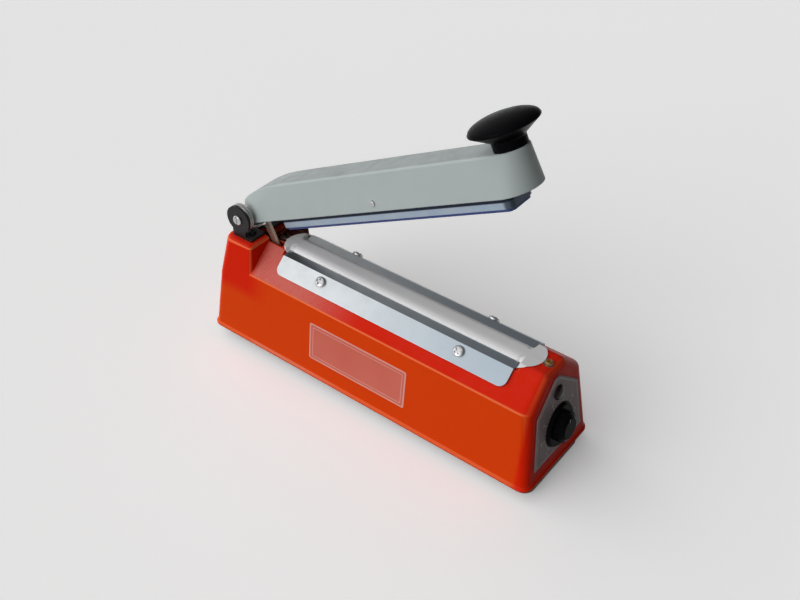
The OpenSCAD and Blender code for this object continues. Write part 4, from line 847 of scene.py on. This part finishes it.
class SEALER_OT_bar_cover(bpy.types.Operator):
    """Lays the coated cloth over the sealing bar, under the clamp plates and over the end caps"""

    bl_idname = "sealer.bar_cover"
    bl_label = "Bar cover"

    def execute(self, context):
        s = context.scene.sealer_cover
        near, far = self.along(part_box("sealing_bar"))
        plate_near, plate_far = self.along(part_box("front_clamp_plate"))
        radius = s.end_radius / MM
        near_tip = near - s.near_lap / MM
        far_tip = far + s.far_lap / MM
        tucked = self.tucked_half()
        tent = self.tent_half()
        hem = self.length_of(tucked)
        wide = self.length_of(tent)

        def end_half(x, tip, towards):
            """Half width of a rounded end, along the cloth."""
            inner = tip - towards * radius
            past = max(0.0, (x - inner) * towards)
            flat = math.sqrt(max(radius * radius - past * past, 0.25))
            edge = tent[1][0]
            along = flat if flat < edge else edge + (flat - edge) / math.cos(SLOPE)
            return min(along, wide)

        steps = 16
        deck_past, deck_rows, tucked_in = 2.5, 8, 1.5
        inner_rows, inner_past = 84, 2
        risen = deck_past - 0.3
        inner = plate_far - plate_near - 2 * inner_past
        rows = [(plate_near + inner_past + inner * k / inner_rows, 0) for k in range(inner_rows + 1)]
        for end, tip, plate_end, turn in ((-1, near_tip, plate_near, 62), (1, far_tip, plate_far, 78)):
            for k in range(steps + 1):
                x = tip - end * radius * (1 - math.cos(math.radians(turn * k / steps)))
                if (x - plate_end) * end > deck_past:
                    rows.append((x, end))
            rows += [(plate_end + end * deck_past * k / deck_rows, end) for k in range(deck_rows + 1)]
            rows.append((plate_end - end * tucked_in, end))
        rows = sorted(set(rows))
        half = s.columns
        points = []
        for x, end in rows:
            reach = hem if end == 0 else end_half(x, near_tip if end < 0 else far_tip, end)
            past = max(plate_near - x, x - plate_far) if end else 0.0
            t = min(1.0, max(0.0, past / risen))
            lift = t * t * (3 - 2 * t)
            for j in range(-half, half + 1):
                d = reach * abs(j) / half
                low = self.walk(tucked, d)
                high = self.walk(tent, d)
                y = low[0] + (high[0] - low[0]) * lift
                z = low[1] + (high[1] - low[1]) * lift
                points.append(place(x, math.copysign(y, j), z))
        count = 2 * half + 1
        faces = []
        for i in range(len(rows) - 1):
            for j in range(count - 1):
                a = i * count + j
                faces.append((a, a + count, a + count + 1, a + 1))
        cloth = coated_cloth("cover_cloth", tuple(context.scene.sealer_finishes.cloth))
        cover = piece("bar_cover", points, faces, [cloth])
        thick = cover.modifiers.new("cloth", "SOLIDIFY")
        thick.thickness = s.thickness
        thick.offset = 0.0
        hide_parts("ptfe_cover")
        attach(cover, "base")
        return {"FINISHED"}

    @staticmethod
    def along(box):
        """Where a box starts and ends along the body, in millimetres."""
        return [(corner.x - MIDDLE_X) / MM for corner in box]

    @staticmethod
    def on_face(up, off):
        """Point on the rear slope, up from the fold and off its face."""
        return (FOLD_HALF_W - up * math.cos(SLOPE) + off * math.sin(SLOPE),
                FOLD_H + up * math.sin(SLOPE) + off * math.cos(SLOPE))

    @classmethod
    def face_at(cls, height, off):
        """Point at a height, off the slope's face."""
        return cls.on_face((height - FOLD_H - off * math.cos(SLOPE)) / math.sin(SLOPE), off)

    @classmethod
    def tucked_half(cls):
        """Half of the cloth's line over the bar: crown, side, deck and slope."""
        crown_half, shoulder, over, rise, laid = 3.0, 5.0, 0.6, 2.6, 0.25
        hem_up = 12.6
        line = [(0.0, RIDGE_H + over)]
        steps = 12
        for k in range(steps + 1):
            a = math.radians(90 - 90 * k / steps)
            line.append((crown_half + (shoulder + over) * math.cos(a),
                         RIDGE_H - rise + (rise + over) * math.sin(a)))
        for aside, above in ((0.0, 0.7), (0.15, 0.4), (0.45, laid)):
            line.append((crown_half + shoulder + over + aside, DECK_H + above))
        return line + [cls.face_at(DECK_H + laid, laid), cls.on_face(hem_up, laid)]

    @classmethod
    def tent_half(cls):
        """Half of the cloth's line over an end cap: the ridge, and down the slope."""
        over, foot = 0.6, 1.2
        return [(0.0, RIDGE_H + over), cls.face_at(RIDGE_H + over, over), cls.face_at(DECK_H + foot, over)]

    @staticmethod
    def length_of(line):
        """Length along a line of points."""
        return sum(math.dist(a, b) for a, b in zip(line, line[1:]))

    @staticmethod
    def walk(line, distance):
        """Point at a distance along a line, carried straight on past its end."""
        for a, b in zip(line, line[1:]):
            step = math.dist(a, b)
            if distance <= step or b == line[-1]:
                t = distance / step
                return (a[0] + (b[0] - a[0]) * t, a[1] + (b[1] - a[1]) * t)
            distance -= step


class SEALER_OT_springs(bpy.types.Operator):
    """Winds the two torsion springs on the hinge pin"""

    bl_idname = "sealer.springs"
    bl_label = "Hinge springs"
    ARM_SIDE = 19.2 * MM

    def execute(self, context):
        s = context.scene.sealer_springs
        pin_low, pin_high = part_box("hinge_pin")
        hinge = Vector(((pin_low.x + pin_high.x) / 2, 0, (pin_low.z + pin_high.z) / 2))
        wire = plated("spring_wire", (0.42, 0.415, 0.40), (0.32, 0.31, 0.30), rough=0.30,
                      stretch=(300, 300, 300), clouds=500.0, radius=0.2 * MM)
        for side, name in ((-1, "front_spring"), (1, "rear_spring")):
            path = [hinge + Vector((p.x, -side * p.y, p.z)) for p in self.path(s)]
            points, faces = tube(path, s.wire / 2, sides=14)
            if side > 0:
                faces = [tuple(reversed(face)) for face in faces]
            spring = piece(name, points, faces, [wire])
            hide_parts("torsion_springs")
            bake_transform(spring)
        return {"FINISHED"}

    @classmethod
    def path(cls, s):
        """Front spring's middle line about the hinge: hook under the arm, turns, leg on the bracket."""
        arm_tilt = math.radians(8)
        base_tilt = math.radians(24)
        across = cls.ARM_SIDE
        hook = 14.6 * MM
        leg_v = -7.85 * MM
        leg_u = s.radius * math.sin(arm_tilt) + (leg_v + s.radius * math.cos(arm_tilt)) / math.tan(arm_tilt)
        bend = 1.6 * MM
        seat_z = -13.0 * MM
        toe = 2.4 * MM

        def from_arm(u, y, v):
            return Vector((u * math.cos(OPEN) - v * math.sin(OPEN), y,
                           u * math.sin(OPEN) + v * math.cos(OPEN)))

        def on_leg(d, y):
            return from_arm(leg_u - d * math.cos(arm_tilt), y, leg_v - d * math.sin(arm_tilt))

        line = [from_arm(leg_u, -hook + (hook - across + bend) * k / 4, leg_v) for k in range(5)]
        for k in range(1, 8):
            a = math.radians(90 * k / 8)
            line.append(on_leg(bend * (1 - math.cos(a)), -across + bend * (1 - math.sin(a))))
        first = OPEN - math.pi / 2 + arm_tilt
        last = base_tilt - math.pi / 2
        sweep = math.tau * s.turns + first - last
        start = on_leg(bend, -across)
        coil_start = Vector((s.radius * math.cos(first), -across, s.radius * math.sin(first)))
        line += [start.lerp(coil_start, k / 8) for k in range(8)]
        steps = 48 * s.turns
        for k in range(steps + 1):
            a = first - sweep * k / steps
            y = -across - s.pitch * sweep / math.tau * k / steps
            line.append(Vector((s.radius * math.cos(a), y, s.radius * math.sin(a))))
        leg = (s.radius * math.sin(last) - seat_z) / math.sin(base_tilt)
        coil_end = line[-1]
        foot = coil_end - leg * Vector((math.cos(base_tilt), 0, math.sin(base_tilt)))
        line += [coil_end.lerp(foot, k / 6) for k in range(1, 7)]
        return line + [foot - Vector((toe * k / 3, 0, 0)) for k in range(1, 4)]


class SEALER_OT_front_label(bpy.types.Operator):
    """Sticks the bare film label on the front wall"""

    bl_idname = "sealer.front_label"
    bl_label = "Front label"

    def execute(self, context):
        s = context.scene.sealer_label
        field = film("label_field", (0.60, 0.115, 0.075), (0.66, 0.17, 0.125), rough=0.36)
        border = film("label_border", (0.72, 0.30, 0.25), (0.76, 0.36, 0.31), rough=0.36)
        up = Vector((0, math.sin(DRAFT), math.cos(DRAFT)))
        out = Vector((0, -math.cos(DRAFT), math.sin(DRAFT)))
        middle_h = s.up / MM
        middle = place(s.along / MM, -wall_y(middle_h), middle_h)
        width = s.length / MM
        height = s.height / MM
        rings = [(0.0, 0.0, 1.6), (0.12, 0.0, 1.6), (0.16, 0.15, 1.5), (0.16, 1.3, 1.2), (0.14, 1.35, 1.1),
                 (0.14, 3.0, 0.8), (0.16, 3.05, 0.8), (0.16, 3.6, 0.7), (0.14, 3.65, 0.7)]
        points = []
        for lift, inset, radius in rings:
            for x, y in rounded_box(width - 2 * inset, height - 2 * inset, radius, 6):
                points.append(middle + Vector((x * MM, 0, 0)) + up * y * MM + out * lift * MM)
        count = len(points) // len(rings)
        faces = stacked_faces(len(rings), count)
        faces.append(tuple(range(len(points) - count, len(points))))
        pale = {0, 1, 2, 6}
        which = [int(k // count in pale) for k in range(len(faces))]
        label = piece("front_label", points, faces, [field, border], smooth=False, which=which)
        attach(label, "base")
        return {"FINISHED"}


class SEALER_OT_inner_parts(bpy.types.Operator):
    """Gives the parts inside the housing and the soft strips their finishes"""

    bl_idname = "sealer.inner_parts"
    bl_label = "Inner parts"

    def execute(self, context):
        dress(moulded("pad_silicone", (0.035, 0.06, 0.20), (0.05, 0.08, 0.26),
                      rough=0.55, grain=1200.0, depth=0.02 * MM, dust=0.03, shine=0.35), "silicone_pad")
        dress(coated_cloth("tape_cloth", (0.42, 0.30, 0.20)), "insulating_tape", "ptfe_cover")
        moulds = (
            ("bush_brown", (0.09, 0.040, 0.022), (0.14, 0.07, 0.04), 0.45, 1500.0, 0.02,
             ("terminal_bushes", "timer_body")),
            ("mould_dark", (0.020, 0.020, 0.024), (0.05, 0.05, 0.055), 0.42, 1500.0, 0.015,
             ("micro_switch", "board_parts")),
            ("mould_white", (0.62, 0.61, 0.57), (0.72, 0.71, 0.68), 0.42, 1500.0, 0.015,
             ("lamp_holder", "board_standoffs")),
            ("plunger_red", (0.45, 0.03, 0.02), (0.55, 0.08, 0.06), 0.35, 1500.0, 0.01,
             ("switch_plunger",)),
            ("board_green", (0.015, 0.10, 0.035), (0.03, 0.16, 0.06), 0.35, 300.0, 0.02,
             ("timer_board",)),
            ("spring_rest", (0.40, 0.40, 0.39), (0.5, 0.5, 0.49), 0.35, 900.0, 0.01,
             ("torsion_springs",)),
        )
        for name, colour, pale, rough, grain, depth, nodes in moulds:
            dress(moulded(name, colour, pale, rough, grain, depth * MM), *nodes)
        dress(plated("bracket_zinc", (0.58, 0.60, 0.62), (0.48, 0.50, 0.52), rough=0.38,
                     stretch=(30, 700, 700)), "switch_bracket", "transformer_frame")
        dress(banded("lamination", (0.22, 0.22, 0.23), (0.06, 0.05, 0.05), pitch=0.5 * MM, axis="Y",
                     rough=0.40, metallic=0.8, depth=0.05 * MM), "transformer_core")
        dress(banded("winding", (0.52, 0.22, 0.08), (0.16, 0.06, 0.02), pitch=0.6 * MM, axis="Z",
                     rough=0.35, metallic=0.5, depth=0.15 * MM), "transformer_coil")
        return {"FINISHED"}


class SEALER_OT_studio(bpy.types.Operator):
    """Sets the pale floor, the soft light and the camera"""

    bl_idname = "sealer.studio"
    bl_label = "Studio"

    def execute(self, context):
        s = context.scene.sealer_studio
        scene = context.scene
        scene.view_settings.view_transform = "Standard"
        self.floor(tuple(s.floor), tuple(s.bounce), s.glow)
        self.sky(scene, s)
        self.key_light(s)
        self.camera(scene, s)
        return {"FINISHED"}

    def floor(self, colour, bounce, glow):
        """Wide floor, pale as seen and in reflections, with a barely uneven tone."""
        f = Finish("floor_grey", Roughness=0.9, Specular_IOR_Level=0.0, Emission_Color=(1, 1, 1, 1))
        t = f.tree
        tone = f.add(orange_peel, Scale=200.0)["Tone"]
        pale = tinted(t, tone, colour, dimmed(colour, 0.995))
        path = put(t, "ShaderNodeLightPath").outputs
        seen = most(t, path["Is Camera Ray"], path["Is Glossy Ray"], path["Is Transmission Ray"])
        f.paint(bounce, (seen, pale))
        f.set("Emission Strength", times(t, seen, glow))
        wide = 12.0
        corners = [(-wide, -wide, 0), (wide, -wide, 0), (wide, wide, 0), (-wide, wide, 0)]
        floor = piece("floor", corners, [(0, 1, 2, 3)], [f.material], smooth=False)

    def sky(self, scene, s):
        """Soft sky, bright towards the front and left, and an even pale backdrop where it is looked at."""
        world = bpy.data.worlds.new("studio_sky")
        world.use_nodes = True
        tree = world.node_tree
        tree.nodes.clear()
        way = put(tree, "ShaderNodeTexCoord").outputs["Generated"]
        brightest = Vector((-0.69, -0.72, 0.03)).normalized()
        dim_from = -0.37
        light = spread(tree, dot(tree, way, brightest), dim_from, 1.0, s.sky_low, s.sky_high)
        path = put(tree, "ShaderNodeLightPath").outputs
        mirrored = times(tree, path["Is Glossy Ray"], s.mirrored)
        shown = most(tree, path["Is Camera Ray"], path["Is Transmission Ray"], mirrored)
        lit_share = calc(tree, "SUBTRACT", 1.0, shown)
        light = added(tree, light, lit_share, times(tree, shown, s.backdrop))
        back = put(tree, "ShaderNodeBackground", {"Color": (1, 1, 1, 1), "Strength": light})
        put(tree, "ShaderNodeOutputWorld", {"Surface": back.outputs[0]})
        scene.world = world

    def key_light(self, s):
        """Soft key from the upper left, in front."""
        light = bpy.data.lights.new("key", "SUN")
        light.energy = s.key
        light.angle = math.radians(40)
        key = bpy.data.objects.new("key", light)
        towards = Vector((-0.25, -0.90, 0.36)).normalized()
        key.rotation_euler = towards.to_track_quat("Z", "Y").to_euler()
        key.location = towards * 2
        bpy.context.collection.objects.link(key)

    def camera(self, scene, s):
        """Camera at the photograph's angle."""
        data = bpy.data.cameras.new("camera")
        data.lens = s.lens
        data.sensor_width = 36
        data.clip_start = 0.01
        data.dof.use_dof = False
        camera = bpy.data.objects.new("camera", data)
        bpy.context.collection.objects.link(camera)
        turn = Matrix.Rotation(s.around, 4, "Z") @ Matrix.Rotation(math.pi / 2 - s.above, 4, "X")
        turn = turn @ Matrix.Rotation(s.roll, 4, "Z")
        aim = place(0, 0, 60)
        aside, lifted = 7.32 * MM, 7.55 * MM
        spot = aim + turn @ Vector((aside, lifted, s.distance))
        camera.matrix_world = Matrix.Translation(spot) @ turn
        scene.camera = camera


class SEALER_PT_panel(bpy.types.Panel):
    """Lists the pieces of the heat sealer"""

    bl_idname = "SEALER_PT_panel"
    bl_label = "Heat Sealer"
    bl_space_type = "VIEW_3D"
    bl_region_type = "UI"
    bl_category = "Heat Sealer"

    def draw(self, context):
        for settings in SETTINGS:
            box = self.layout.box()
            group = getattr(context.scene, settings)
            for name in group.__annotations__:
                box.prop(group, name)
        for operator in OPERATORS:
            self.layout.operator(operator.bl_idname)


SETTINGS = {
    "sealer_finishes": SealerFinishes,
    "sealer_cover": SealerCover,
    "sealer_springs": SealerSprings,
    "sealer_label": SealerLabel,
    "sealer_studio": SealerStudio,
}

OPERATORS = (
    SEALER_OT_body_enamel,
    SEALER_OT_arm_enamel,
    SEALER_OT_bright_metal,
    SEALER_OT_dark_parts,
    SEALER_OT_control_end,
    SEALER_OT_inner_parts,
    SEALER_OT_bar_cover,
    SEALER_OT_springs,
    SEALER_OT_front_label,
    SEALER_OT_studio,
)


def register():
    for name, settings in SETTINGS.items():
        bpy.utils.register_class(settings)
        setattr(bpy.types.Scene, name, bpy.props.PointerProperty(type=settings))
    for operator in OPERATORS:
        bpy.utils.register_class(operator)
    bpy.utils.register_class(SEALER_PT_panel)


def unregister():
    bpy.utils.unregister_class(SEALER_PT_panel)
    for operator in reversed(OPERATORS):
        bpy.utils.unregister_class(operator)
    for name, settings in reversed(SETTINGS.items()):
        delattr(bpy.types.Scene, name)
        bpy.utils.unregister_class(settings)


def main():
    register()
    for operator in OPERATORS:
        group, name = operator.bl_idname.split(".")
        getattr(getattr(bpy.ops, group), name)()


if __name__ == "__main__":
    main()
